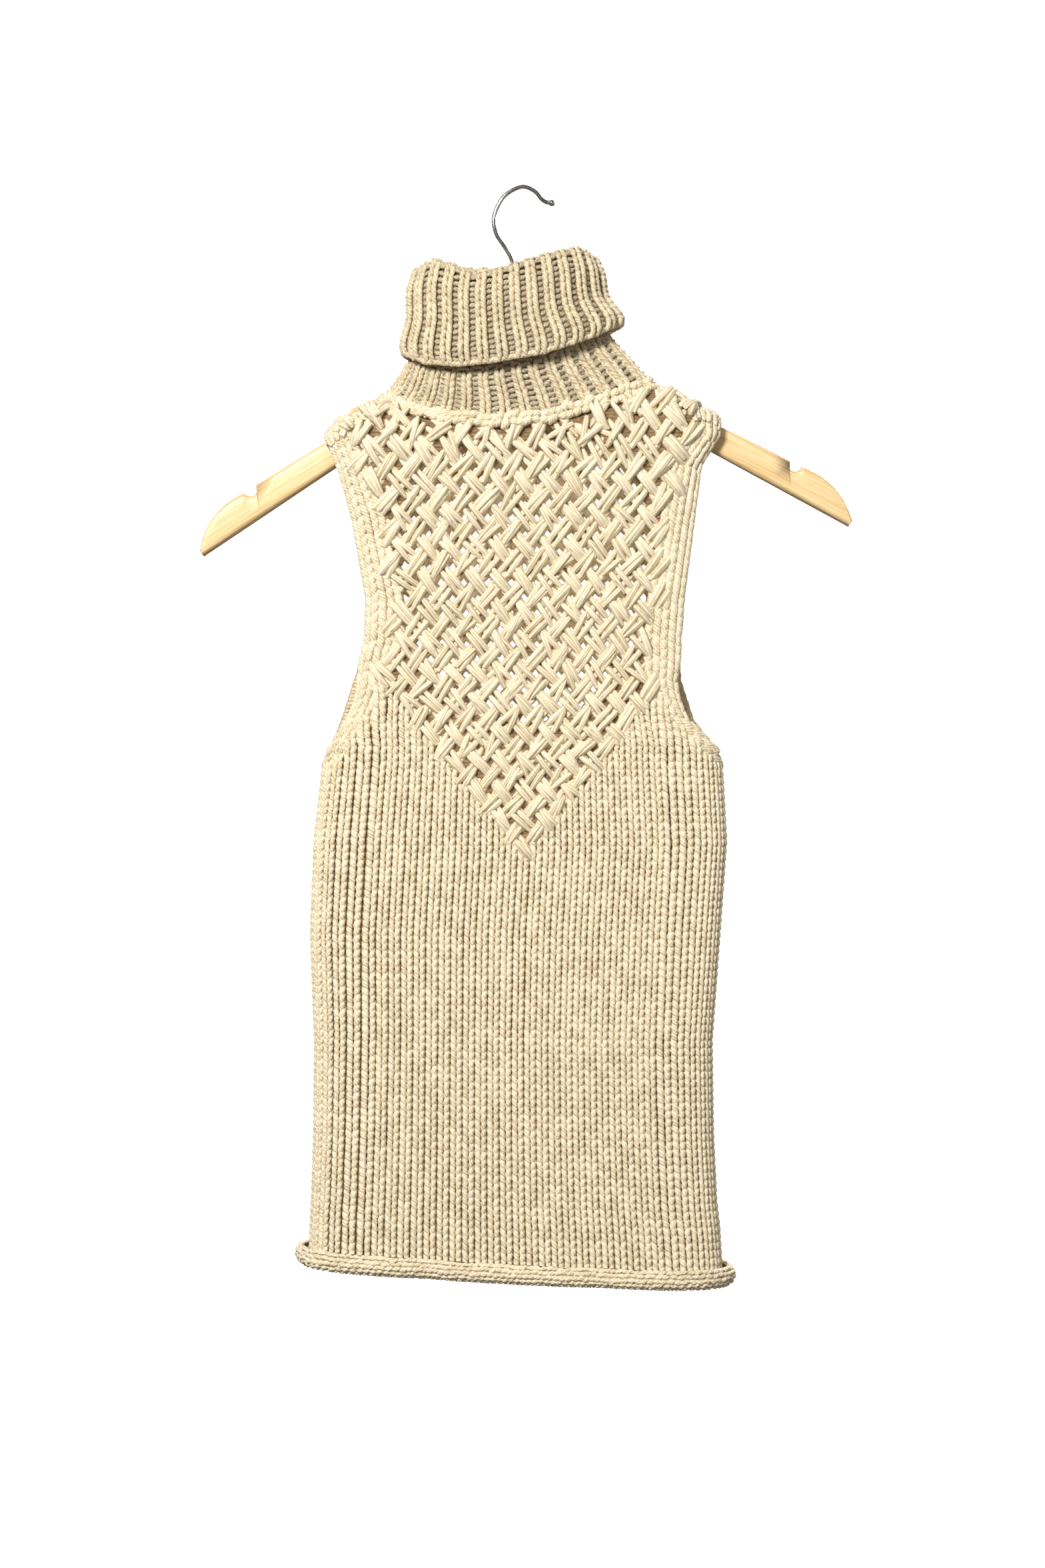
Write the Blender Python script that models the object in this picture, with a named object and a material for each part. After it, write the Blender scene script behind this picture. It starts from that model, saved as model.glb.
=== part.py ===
"""A sleeveless turtleneck sweater of thick cotton yarn, hanging on a wooden hanger.

The origin is the inside top of the hanger's hook, where a rail carries it. X runs to the right
and the front of the garment faces -Y. Every size here is in millimetres, and MM turns the
finished points into metres.

Both panels are worked out in the flat first. There u runs across the cloth from its middle, and
v runs up it and is also the height on the upright part of the cloth. panel_face lays a flat point
on the hanging garment: the panel rounds away at its sides, arches over the hanger at the
shoulders and curls outwards at the hem.
"""

import math

import bpy
import numpy as np
from mathutils import Vector
from mathutils.geometry import delaunay_2d_cdt

MM = 0.001

# Cloth
WALL = 4.0
SEAM_GAP = 0.3
# How far to either side of a point its slopes are measured
TINY = 0.4
COLLAR_GAP = 0.5
COLLAR_END_GAP = 0.7
END_GAP_POWER = 8
FRONT = -1
BACK = 1

# The garment's outline: height, half width, how far its middle lies right of the hook, half depth
# over the cloth, and how far round its side each panel reaches, in degrees. A panel reaches 90
# degrees where the side seam joins the two, and less at an open armhole.
OUTLINE = np.array([
    # z, half_width, middle, half_depth, reach
    (-170.0, 135.5, 0.5, 23.0, 57.0),
    (-191.0, 125.2, -2.0, 21.5, 52.0),
    (-227.0, 117.5, 0.8, 18.5, 45.0),
    (-282.0, 109.0, 2.2, 16.5, 38.0),
    (-310.0, 108.6, 0.5, 16.0, 38.0),
    (-337.0, 113.4, -3.2, 16.0, 41.0),
    (-364.0, 122.0, -3.2, 16.5, 50.0),
    (-383.0, 133.6, 0.6, 17.0, 68.0),
    (-393.0, 136.0, 0.4, 17.2, 90.0),
    (-447.0, 140.6, -1.2, 18.5, 90.0),
    (-511.0, 139.5, -4.7, 20.0, 90.0),
    (-584.0, 135.4, -6.0, 22.0, 90.0),
    (-648.0, 136.1, -5.8, 23.5, 90.0),
    (-694.0, 138.0, -5.4, 24.5, 90.0),
    (-712.0, 139.5, -4.9, 25.0, 90.0),
    (-735.0, 140.5, -4.5, 25.5, 90.0),
])
Z, HALF_WIDTH, MIDDLE, HALF_DEPTH, REACH = OUTLINE[::-1].T
SIDE_ROUND = 40.0
# Where the tip of the armhole lies at the shoulder, and where it ends under the arm
TIP_Z = -165.0
ARMHOLE_Z = -393.0
# The front's armhole is cut a little deeper than the back's.
FRONT_CUT = 7.0
FRONT_CUT_Z = -352.0
FRONT_CUT_SPAN = 22.0

# Soft vertical troughs in the body, which fade in and out along their length
FOLDS = np.array([
    # u, top, bottom, half_width, depth
    (-109.0, -400.0, -760.0, 14.0, 5.0),
    (114.0, -400.0, -760.0, 14.0, 4.0),
    (4.0, -455.0, -640.0, 14.0, 2.2),
    (-58.0, -610.0, -790.0, 26.0, 3.0),
    (58.0, -590.0, -790.0, 30.0, 2.5),
])
FOLD_FADE = 60.0

# Hanger: a bow of two like arms, hanging a little askew
HANGER_APEX = (-4.0, -94.0)
HANGER_TILT = math.radians(2.65)
ARM_SLOPE = math.radians(28.9)
HANGER_THICK = 12.0
HANGER_EDGE = 4.5
EDGE_SHARE = 0.45
NOTCH_REACH = 213.4
NOTCH_RADIUS = 4.7
NOTCH_SUNK = 0.8
NOTCH_LIP = 0.12
ARM_END = ((191.8, -106.3), (216.0, -125.4), (223.5, -144.6))
ARM_TIP = (221.6, -148.2)
ARM_UNDERSIDE = ((0.0, -27.0), (26.0, -31.5), (60.0, -50.8), (131.0, -93.4), ARM_TIP)
SADDLE = ((0.0, -5.0), (9.0, -6.6), (18.0, -10.0))
PLAIN_ARM = (60.0, 120.0, 170.0)
NOTCH_SPREAD = 2.0
TIP_STEP = 0.4
ARC_POINTS = 8
CORNER_POINTS = 3
SEAT_GAP = 0.6

# Hook: the middle of its wire, from inside the wood to the ball at its end
WIRE_RADIUS = 1.4
BALL_RADIUS = 2.2
SOCKET_RADIUS = 1.75
SOCKET_DEPTH = 17.0
SOCKET_SIDES = 12
DRILL_START = 6.0
STEM_X = -4.2
HOOK_ROUTE = (
    (STEM_X, -114.5), (STEM_X, -96.0), (-4.6, -75.0), (-6.0, -56.0), (-7.4, -48.0),
    (-12.2, -39.5), (-17.4, -31.4), (-19.4, -21.5), (-16.8, -12.2), (-10.8, -3.8), (0.0, 1.4),
    (8.6, -1.6), (13.6, -7.2), (16.6, -9.1), (18.3, -9.5),
)
HOOK_STEPS = 4
HOOK_SIDES = 2
BALL_HEADING = math.radians(-8.0)
BALL_ANGLES = (50.0, 75.0, 100.0, 125.0, 150.0, 168.0)
BALL_TIP = 0.3

# Neck seam: an oval hole, and the height of each panel's edge along it
NECK_X = -3.0
NECK_HALF_WIDTH = 95.0
NECK_HALF_DEPTH = 23.0
NECK_EDGE = {
    FRONT: ((-87.0, -151.0), (-60.0, -159.5), (-20.0, -165.5), (20.0, -161.5), (62.0, -149.5)),
    BACK: ((-80.0, -148.0), (-20.0, -152.0), (50.0, -144.0)),
}
ARCH_HEIGHT = 9.0
ARCH_UNROLLED = 13.0

# Cable lattice: wales cross in pairs, and the crossings shift by one wale from row to row
LATTICE_TIP = -452.0
LATTICE_X = 1.5
ROW_RISE = 9.5
ROW_RISE_GAIN = 0.0346
WALE = 7.6
WALE_GAIN = 0.033
LATTICE_ROWS = 32
PLAIN_EDGE = 7.0
TOP_MARGIN = 1.5
STRAND_RAISED = 2.2
STRAND_SUNK = 0.9
CORNER_SUNK = 0.36
STRAND_REACH = 0.2
EDGE_STRIP = 9.0
OUTLINE_CLEAR = 4.0
LATTICE_CLEAR = 6.0
HOLE_CLEAR = 5.0
CELL_CORNERS = ((-0.5, -0.5), (0.5, -0.5), (0.5, 0.5), (-0.5, 0.5))
HOLE_HALF_WIDTH = 0.42
HOLE_HALF_HEIGHT = 0.38
# The ellipse in which the gaps are open: its middle across and up, half width and half height
OPEN_LATTICE = (1.5, -272.0, 62.0, 78.0)
# The plain inside takes one point for this many wales and rows.
INSIDE_STEP = 4

# Hem roll
HEM_LOWEST = -745.9
HEM_SLOPE = -0.05
HEM_BOW = 0.0001
CURL_INSIDE = 3.0
CURL_ANGLE = math.radians(250.0)
CURL_ROWS = 5
HEM_REACH = 150.0

# Collar: ribs round it, three points to a rib, and the rings that its wall passes through. The
# wall rises from the neck seam, turns over at the top and hangs down outside itself.
RIBS = 28
RIB_RAISED = (-1.1, 0.5, 0.5)
COLUMNS = RIBS * len(RIB_RAISED)
# About how far the stand rises, which tells its way up from its way down.
STAND_RISE = 40.0
COLLAR_TOP = {
    FRONT: ((-77.0, -57.0), (-62.0, -52.0), (-44.0, -58.0), (-34.0, -63.5), (-16.0, -60.0),
            (4.0, -54.0), (26.0, -47.5), (42.0, -43.5), (55.0, -49.5)),
    BACK: ((-77.0, -57.0), (-40.0, -50.0), (20.0, -48.0), (55.0, -49.5)),
}
COLLAR_RIM = {
    FRONT: ((-82.0, -116.0), (-67.0, -124.0), (-44.0, -127.0), (-20.0, -125.0), (14.0, -119.0),
            (32.0, -113.0), (50.0, -106.0), (69.0, -95.0)),
    BACK: ((-82.0, -116.0), (0.0, -116.0), (69.0, -95.0)),
}
RIM_PLAN = (-6.5, 75.5, 36.0)
TOP_PLAN = (-11.0, 66.0, 31.4)
COLLAR_RINGS = (
    # middle, half width, half depth, zone, share of the zone's height, share of the rib's relief
    # The stand's outside, from low to high, and on up into the fold
    (-5.5, 82.5, 23.5, "stand", 0.42, 1.0),
    (-9.5, 70.5, 24.5, "stand", 0.88, 1.0),
    (-9.5, 64.0, 25.0, "fold", 0.14, 0.5),
    (-11.0, 60.6, 26.2, "fold", 0.88, 0.0),
    # Down again inside the fold, round its rim and up its outside
    (-11.0, 61.6, 27.4, "fold", 0.87, 0.0),
    (-6.5, 71.6, 32.6, "fold", 0.03, 0.0),
    (-6.5, 73.8, 34.6, "fold", 0.0, 0.0),
    (*RIM_PLAN, "fold", 0.05, 0.8),
    (-9.8, 69.0, 33.6, "fold", 0.45, 1.0),
    (*TOP_PLAN, "fold", 0.86, 1.0),
    # Over the crest and down the inside of the neck
    (-11.0, 62.4, 28.2, "fold", 0.985, 0.6),
    (-11.0, 57.4, 22.6, "fold", 0.92, 0.0),
    (-9.5, 66.2, 20.4, "stand", 0.9, 0.0),
    (-5.5, 78.2, 19.4, "stand", 0.44, 0.0),
)
# The stand ends this far under the fold's rim.
STAND_DROP = 3.0


def row_value(table, z):
    return np.interp(z, Z, table)


def reach_at(z):
    return np.radians(row_value(REACH, z))


def side_length(z):
    """How long the rounded side of a panel is over a full quarter turn."""
    depth = row_value(HALF_DEPTH, z)
    cross = (3 * SIDE_ROUND + depth) * (SIDE_ROUND + 3 * depth)
    return math.pi / 4 * (3 * (SIDE_ROUND + depth) - np.sqrt(cross))


def flat_half(z):
    """Half the width over which a panel hangs flat, before its side rounds away."""
    return row_value(HALF_WIDTH, z) - SIDE_ROUND * np.sin(reach_at(z))


def edge_u(z):
    """Where a panel's edge lies in the flat."""
    return flat_half(z) + side_length(z) * reach_at(z) / (math.pi / 2)


def hanger_top(x):
    """Height of the hanger's top edge."""
    away = x - HANGER_APEX[0]
    slope = np.where(away < 0, ARM_SLOPE + HANGER_TILT, ARM_SLOPE - HANGER_TILT)
    return HANGER_APEX[1] - np.abs(away) * np.tan(slope)


def shoulder_top(x):
    """Height of the cloth where it passes over the hanger."""
    slope = np.where(x < HANGER_APEX[0], ARM_SLOPE + HANGER_TILT, ARM_SLOPE - HANGER_TILT)
    return hanger_top(x) + (WALL + SEAT_GAP) / np.cos(slope)


def neck_height(side, x):
    """Height of a panel's edge at the neck seam."""
    ends = [NECK_X - NECK_HALF_WIDTH, NECK_X + NECK_HALF_WIDTH]
    across = [ends[0], *[row[0] for row in NECK_EDGE[side]], ends[1]]
    heights = [row[1] for row in NECK_EDGE[side]]
    low, high = (float(shoulder_top(np.array(end))) for end in ends)
    return np.interp(x, across, [low, *heights, high])


def neck_share(x):
    return np.abs(x - NECK_X) / NECK_HALF_WIDTH


def arch_start(side, x):
    """Height at which the upright cloth begins to arch over towards its top edge."""
    share = neck_share(x)
    at_neck = neck_height(side, x) - ARCH_HEIGHT * share
    return np.where(share < 1, at_neck, shoulder_top(x) - ARCH_HEIGHT)


def middle_at(z):
    return row_value(MIDDLE, z)


def fold_depth(u, v):
    depth = np.zeros(np.shape(u))
    for place, top, bottom, half_width, deepest in FOLDS:
        across = np.clip(1 - np.abs(u - place) / half_width, 0, 1)
        along = np.clip((top - v) / FOLD_FADE, 0, 1) * np.clip((v - bottom) / FOLD_FADE, 0, 1)
        depth += deepest * (3 - 2 * across) * across**2 * along
    return depth


def curl_start(x):
    """Height at which the hem begins to curl."""
    return HEM_LOWEST + HEM_SLOPE * x + HEM_BOW * x**2 + CURL_INSIDE + WALL


def upright(side, u, v):
    """The knit face without its curl, for a point in the flat."""
    near = np.minimum(v, arch_start(side, u + middle_at(v)))
    start = arch_start(side, u + middle_at(near))
    z = np.minimum(v, start)
    arch = np.clip((v - start) / ARCH_UNROLLED, 0, math.pi)
    size = np.abs(u)
    turn = np.maximum(size - flat_half(z), 0) / side_length(z) * (math.pi / 2)
    across = np.minimum(size, flat_half(z)) + SIDE_ROUND * np.sin(turn)
    if side == FRONT:
        across = across - FRONT_CUT * np.exp(-(((z - FRONT_CUT_Z) / FRONT_CUT_SPAN) ** 2)) * (
            np.clip(size / row_value(HALF_WIDTH, z), 0, 1) ** 4
        )
    depth = (row_value(HALF_DEPTH, z) - fold_depth(u, z)) * np.cos(turn) * np.cos(arch)
    x = middle_at(z) + np.sign(u) * across
    return np.stack([x, side * depth, z + ARCH_HEIGHT * np.sin(arch)], axis=-1)


def panel_face(side, u, v):
    """A panel's knit face where it hangs, for points in the flat."""
    u = np.asarray(u, float)
    v = np.asarray(v, float)
    x = u + middle_at(np.full(np.shape(u), Z[0]))
    start = curl_start(np.clip(x, -HEM_REACH, HEM_REACH))
    point = upright(side, u, np.maximum(v, start))
    ahead = upright(side, u + TINY, np.maximum(v, start))
    behind = upright(side, u - TINY, np.maximum(v, start))
    along = (ahead - behind)[..., :2]
    along = along / np.linalg.norm(along, axis=-1, keepdims=True)
    outwards = np.stack([-side * along[..., 1], side * along[..., 0]], axis=-1)
    turned = np.maximum(start - v, 0) / (CURL_INSIDE + WALL / 2)
    plan = CURL_INSIDE * (1 - np.cos(turned))
    point[..., :2] += outwards * plan[..., None]
    point[..., 2] -= CURL_INSIDE * np.sin(turned)
    return point


def panel_normal(side, u, v):
    across = panel_face(side, u + TINY, v) - panel_face(side, u - TINY, v)
    along = panel_face(side, u, v + TINY) - panel_face(side, u, v - TINY)
    normal = -side * np.cross(across, along)
    return normal / np.linalg.norm(normal, axis=-1, keepdims=True)


def ring(middle, half_width, half_depth):
    """The collar's columns round an oval, evenly spaced, from its right end by the back."""
    angle = np.linspace(0, 2 * math.pi, 721)
    shape = np.stack([half_width * np.cos(angle), half_depth * np.sin(angle)], axis=1)
    lengths = np.linalg.norm(np.diff(shape, axis=0), axis=1)
    travelled = np.concatenate([[0], np.cumsum(lengths)])
    places = np.linspace(0, travelled[-1], COLUMNS, endpoint=False)
    x = np.interp(places, travelled, shape[:, 0])
    y = np.interp(places, travelled, shape[:, 1])
    return np.stack([middle + x, y], axis=1)


def by_side(table, x, y):
    """A height along the collar, from the front's table before the middle and the back's behind."""
    heights = {side: np.interp(x, *np.array(rows).T) for side, rows in table.items()}
    return np.where(y < 0, heights[FRONT], heights[BACK])


def neck_edge_flat(side):
    """The neck seam on one panel in the flat, from left to right."""
    plan = ring(NECK_X, NECK_HALF_WIDTH, NECK_HALF_DEPTH)
    half = COLUMNS // 2
    order = np.arange(half, 2 * half + 1) % COLUMNS if side == FRONT else np.arange(half, -1, -1)
    x = plan[order, 0]
    start = arch_start(side, x)
    turned = np.arcsin(np.clip(neck_share(x), 0, 1))
    u = x - middle_at(start)
    return np.stack([u, start + ARCH_UNROLLED * turned], axis=1)


def shoulder_edge_flat(side, x_from, x_to):
    """The shoulder seam on one panel in the flat."""
    x = np.linspace(x_from, x_to, SHOULDER_POINTS)
    start = arch_start(side, x)
    return np.stack([x - middle_at(start), start + ARCH_UNROLLED * math.pi / 2], axis=1)


SHOULDER_POINTS = 4
SHOULDER_COLUMNS = (88.0, 101.0, 114.0, 126.0)
SIDE_ROWS = (-430.0, -465.0, -500.0, -535.0, -570.0, -605.0, -640.0, -675.0, -708.0)
ARMHOLE_ROWS = (
    ARMHOLE_Z, -382.0, -370.0, -355.0, -335.0, -310.0, -282.0, -255.0, -227.0, -205.0, -190.0,
)
ARCH_STEPS = (0.0, 30.0, 60.0)


def curl_rows():
    return [CURL_ANGLE * (CURL_INSIDE + WALL / 2) * step / CURL_ROWS for step in range(CURL_ROWS + 1)]


def curl_start_flat(u):
    return curl_start(np.clip(u + MIDDLE[0], -HEM_REACH, HEM_REACH))


def side_edge_flat(side, hand):
    """A panel's side seam and armhole in the flat, from the hem's end up to the shoulder."""
    bottom_u = float(edge_u(np.array(Z[0])))
    start = float(curl_start_flat(np.array(hand * bottom_u)))
    points = [(hand * bottom_u, start - down) for down in reversed(curl_rows())]
    for row in sorted(SIDE_ROWS) + sorted(ARMHOLE_ROWS):
        points.append((hand * float(edge_u(np.array(row))), row))
    tip_u = float(edge_u(np.array(TIP_Z)))
    tip_x = hand * row_value(HALF_WIDTH, TIP_Z) + MIDDLE[-1]
    tip_start = float(arch_start(side, np.array(tip_x)))
    for degrees in ARCH_STEPS:
        points.append((hand * tip_u, tip_start + ARCH_UNROLLED * math.radians(degrees)))
    return np.array(points)


def panel_outline(side):
    """A panel's whole edge in the flat, anticlockwise from the hem's left end."""
    right = side_edge_flat(side, 1)
    left = side_edge_flat(side, -1)
    tip = row_value(HALF_WIDTH, TIP_Z)
    neck = neck_edge_flat(side)
    neck_left = NECK_X - NECK_HALF_WIDTH
    neck_right = NECK_X + NECK_HALF_WIDTH
    shoulder_right = shoulder_edge_flat(side, tip + MIDDLE[-1], neck_right)[:-1]
    shoulder_left = shoulder_edge_flat(side, neck_left, -tip + MIDDLE[-1])[1:]
    hem_u = np.array(COLUMNS_U[1:-1])
    hem = np.stack([hem_u, curl_start_flat(hem_u) - curl_rows()[-1]], axis=1)
    return np.concatenate([hem, right, shoulder_right, neck[::-1], shoulder_left, left[::-1]])


HALF_COLUMNS = (12.0, 30.0, 52.0, 76.0, 95.0, 109.0, 123.0, 133.0, 143.0)
HEM_EDGE = float(edge_u(np.array(Z[0])))
COLUMNS_U = [-HEM_EDGE, *[-u for u in reversed(HALF_COLUMNS)], 0.0, *HALF_COLUMNS, HEM_EDGE]


def lattice_place(column, row):
    """A place in the lattice in the flat, counted in wales and rows from the tip of its V."""
    v = LATTICE_TIP + ROW_RISE * row + ROW_RISE_GAIN * row**2
    u = LATTICE_X - middle_at(v) + column * (WALE + WALE_GAIN * row)
    return np.array([u, v])


def in_lattice(side, column, row):
    if abs(column) > row:
        return False
    for across in (-0.5, 0.5):
        for up in (-0.5, 0.5):
            u, v = lattice_place(column + across, row + up)
            if abs(u) > edge_u(v) - PLAIN_EDGE:
                return False
            if v > arch_start(side, u + middle_at(v)) - TOP_MARGIN:
                return False
    return True


def is_open(column, row):
    """Whether the gap here is over 4 mm across."""
    x, z, half_width, half_height = OPEN_LATTICE
    u, v = lattice_place(column, row)
    return ((u + middle_at(v) - x) / half_width) ** 2 + ((v - z) / half_height) ** 2 < 1


def lattice_cells(side):
    rows = range(LATTICE_ROWS)
    return [(c, r) for r in rows for c in range(-r, r + 1) if in_lattice(side, c, r)]


def inside(points, outline, margin):
    """Which points lie inside a closed outline and at least this far from its corners."""
    ahead = np.roll(outline, -1, axis=0)
    kept = []
    for x, y in points:
        crosses = (outline[:, 1] > y) != (ahead[:, 1] > y)
        rise = np.where(crosses, ahead[:, 1] - outline[:, 1], 1)
        at = outline[:, 0] + (y - outline[:, 1]) * (ahead[:, 0] - outline[:, 0]) / rise
        near = np.min(np.hypot(outline[:, 0] - x, outline[:, 1] - y)) < margin
        kept.append(np.count_nonzero(crosses & (at > x)) % 2 == 1 and not near)
    return np.array(kept)


def skin(points, edges, holes):
    """Triangles over flat points that keep to the given edges, without the holes."""
    placed = [Vector(point) for point in points]
    _, _, faces, origins, _, _ = delaunay_2d_cdt(placed, edges, [], 1, 1e-4)
    first = [origin[0] for origin in origins]
    triangles = [[first[corner] for corner in face] for face in faces]
    hole_of = {corner: number for number, hole in enumerate(holes) for corner in hole}
    kept = []
    for a, b, c in triangles:
        if a in hole_of and hole_of[a] == hole_of.get(b) == hole_of.get(c):
            continue
        first_side = points[b] - points[a]
        second_side = points[c] - points[a]
        if first_side[0] * second_side[1] < first_side[1] * second_side[0]:
            b, c = c, b
        kept.append((a, b, c))
    return kept


def grid_points(side):
    """The coarse net of points below the lattice, at the hem and over the shoulders."""
    points = []
    for u in COLUMNS_U[1:-1]:
        start = float(curl_start_flat(np.array(u)))
        points += [(u, start - down) for down in curl_rows()[:-1]]
    for row in (*SIDE_ROWS, ARMHOLE_Z):
        widest = float(edge_u(np.array(row)))
        points += [(u * widest / HEM_EDGE, row) for u in COLUMNS_U[1:-1]]
    for hand in (-1, 1):
        for x in SHOULDER_COLUMNS:
            start = float(arch_start(side, np.array(hand * x)))
            centre = float(middle_at(start))
            for degrees in ARCH_STEPS:
                points.append((hand * x - centre, start + ARCH_UNROLLED * math.radians(degrees)))
    return points


def edge_strip(side):
    """Points between the lattice and the armholes, where the side rounds away."""
    points = []
    for row in ARMHOLE_ROWS[1:]:
        edge = float(edge_u(np.array(row)))
        points += [(-edge + EDGE_STRIP, row), (edge - EDGE_STRIP, row)]
    return points


def clear_of(points, others, distance):
    others = np.array(others)
    kept = []
    for point in points:
        if np.min(np.hypot(*(others - point).T)) > distance:
            kept.append(point)
    return kept


def panel(name, side, material):
    """One panel: a raised knit face over a plain inside, joined at its edges and round its gaps."""
    outline = panel_outline(side)
    count = len(outline)
    edges = [(i, (i + 1) % count) for i in range(count)]
    cells = lattice_cells(side)
    corner_index = {}
    points = [np.array(point) for point in outline]
    raised = [0.0] * count
    holes = []

    def add(point, height):
        points.append(np.array(point))
        raised.append(height)
        return len(points) - 1

    for column, row in cells:
        if (column + row) % 2 == 1 and is_open(column, row):
            hole = []
            for across, up in ((1, 0), (0, 1), (-1, 0), (0, -1)):
                shift = (across * HOLE_HALF_WIDTH, up * HOLE_HALF_HEIGHT)
                hole.append(add(lattice_place(column + shift[0], row + shift[1]), -STRAND_SUNK))
            holes.append(hole)
            edges += [(hole[i], hole[(i + 1) % 4]) for i in range(4)]
    shared = len(points)
    inner_edges = list(edges)

    for column, row in cells:
        for across in (-0.5, 0.5):
            for up in (-0.5, 0.5):
                key = (column + across, row + up)
                if key not in corner_index:
                    corner_index[key] = add(lattice_place(*key), -CORNER_SUNK)
        around = [corner_index[(column + a, row + b)] for a, b in CELL_CORNERS]
        edges += [(around[i], around[(i + 1) % 4]) for i in range(4)]
        if (column + row) % 2 == 0:
            lean = 1 if row % 2 == 0 else -1
            low = corner_index[(column + 0.5 * lean, row - 0.5)]
            high = corner_index[(column - 0.5 * lean, row + 0.5)]
            shift = STRAND_REACH * lean
            first = add(lattice_place(column + shift, row - STRAND_REACH), STRAND_RAISED)
            second = add(lattice_place(column - shift, row + STRAND_REACH), STRAND_RAISED)
            edges += [(low, first), (first, second), (second, high)]

    lattice = points[shared:]
    coarse = [np.array(point) for point in grid_points(side) + edge_strip(side)]
    coarse = [p for p, ok in zip(coarse, inside(coarse, outline, OUTLINE_CLEAR)) if ok]
    for point in clear_of(coarse, lattice, LATTICE_CLEAR):
        add(point, 0.0)

    outer_flat = np.array(points)
    outer_lift = np.array(raised)
    plain = []
    for column, row in cells:
        if column % INSIDE_STEP == 0 and row % INSIDE_STEP == INSIDE_STEP // 2:
            plain.append(lattice_place(column, row))
    hole_corners = outer_flat[count:shared]
    plain = clear_of(plain, hole_corners, HOLE_CLEAR)
    inner_points = [*outer_flat[:shared], *clear_of(coarse, hole_corners, HOLE_CLEAR)]
    inner_points += clear_of(plain, coarse, LATTICE_CLEAR)
    inner_flat = np.array(inner_points)

    outer = panel_face(side, outer_flat[:, 0], outer_flat[:, 1])
    outer += panel_normal(side, outer_flat[:, 0], outer_flat[:, 1]) * outer_lift[:, None]
    inner = panel_face(side, inner_flat[:, 0], inner_flat[:, 1])
    inner -= panel_normal(side, inner_flat[:, 0], inner_flat[:, 1]) * WALL
    for skin_points in (outer, inner):
        skin_points[:, 1] = side * np.maximum(side * skin_points[:, 1], SEAM_GAP / 2)

    knit_faces = skin(outer_flat, edges, holes)
    inside_faces = skin(inner_flat, inner_edges, holes)
    shift = len(outer)
    faces = list(knit_faces)
    faces += [(a + shift, c + shift, b + shift) for a, b, c in inside_faces]
    directed = {(t[i], t[(i + 1) % 3]) for t in knit_faces for i in range(3)}
    for a, b in directed:
        if (b, a) not in directed:
            faces += [(b, a, a + shift), (b, a + shift, b + shift)]
    if side == BACK:
        faces = [face[::-1] for face in faces]
    return solid(name, np.concatenate([outer, inner]), faces, material)


def collar(name, material):
    """The rib tube: it stands up from the neck seam and is folded over to the outside."""
    plan = ring(NECK_X, NECK_HALF_WIDTH, NECK_HALF_DEPTH)
    side_sign = np.where(plan[:, 1] < 0, FRONT, BACK)
    edge = np.zeros((COLUMNS, 3))
    normal = np.zeros((COLUMNS, 3))
    half = COLUMNS // 2
    for side in (FRONT, BACK):
        flat = neck_edge_flat(side)
        face = panel_face(side, flat[:, 0], flat[:, 1])
        out = panel_normal(side, flat[:, 0], flat[:, 1])
        order = np.arange(half, 2 * half + 1) % COLUMNS if side == FRONT else np.arange(half, -1, -1)
        edge[order] = face
        normal[order] = out
    for end in (0, half):
        edge[end, 1] = 0
        normal[end, 1] = 0
        normal[end] /= np.linalg.norm(normal[end])
    tangent = np.roll(edge, -1, axis=0) - np.roll(edge, 1, axis=0)
    away = np.cross(normal, tangent)
    away /= np.linalg.norm(away, axis=1, keepdims=True)
    inwards = np.array([NECK_X, 0, 0]) - edge
    inwards[:, 2] = STAND_RISE
    wrong = np.sum(away * inwards, axis=1) < 0
    away[wrong] *= -1
    gap = (COLLAR_GAP + COLLAR_END_GAP * neck_share(plan[:, 0]) ** END_GAP_POWER)[:, None]
    rings = [edge - normal * (WALL - COLLAR_END_GAP) + away * gap, edge + away * gap]
    rib = np.tile(RIB_RAISED, RIBS)
    seam_height = edge[:, 2]
    rim = by_side(COLLAR_RIM, ring(*RIM_PLAN)[:, 0], side_sign)
    top = by_side(COLLAR_TOP, ring(*TOP_PLAN)[:, 0], side_sign)
    for centre, half_width, half_depth, zone, share, rib_share in COLLAR_RINGS:
        oval = ring(centre, half_width, half_depth)
        scaled = oval - np.array([centre, 0])
        out = scaled / np.array([half_width**2, half_depth**2])
        out /= np.linalg.norm(out, axis=1, keepdims=True)
        low, high = (seam_height, rim - STAND_DROP) if zone == "stand" else (rim, top)
        height = low + (high - low) * share
        xy = oval + out * (rib * rib_share)[:, None]
        rings.append(np.concatenate([xy, height[:, None]], axis=1))
    count = len(rings)
    points = np.concatenate(rings)
    faces = []
    for level_index in range(count):
        above = (level_index + 1) % count
        for column in range(COLUMNS):
            beside = (column + 1) % COLUMNS
            a, b = level_index * COLUMNS + column, level_index * COLUMNS + beside
            c, d = above * COLUMNS + beside, above * COLUMNS + column
            faces += [(a, b, c), (a, c, d)]
    return solid(name, points, faces, material)


def arc_through(start, middle, end, count):
    """Points along the circular arc through three points, with both ends."""
    a, b, c = (complex(*point) for point in (start, middle, end))
    w = (c - a) / (b - a)
    centre = (b - a) * (w - abs(w) ** 2) / (2j * w.imag) + a
    begin = np.angle(a - centre)
    sweep = np.angle((c - centre) / (a - centre))
    angles = begin + sweep * np.linspace(0, 1, count)
    radius = abs(a - centre)
    return [(centre.real + radius * math.cos(t), centre.imag + radius * math.sin(t)) for t in angles]


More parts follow.
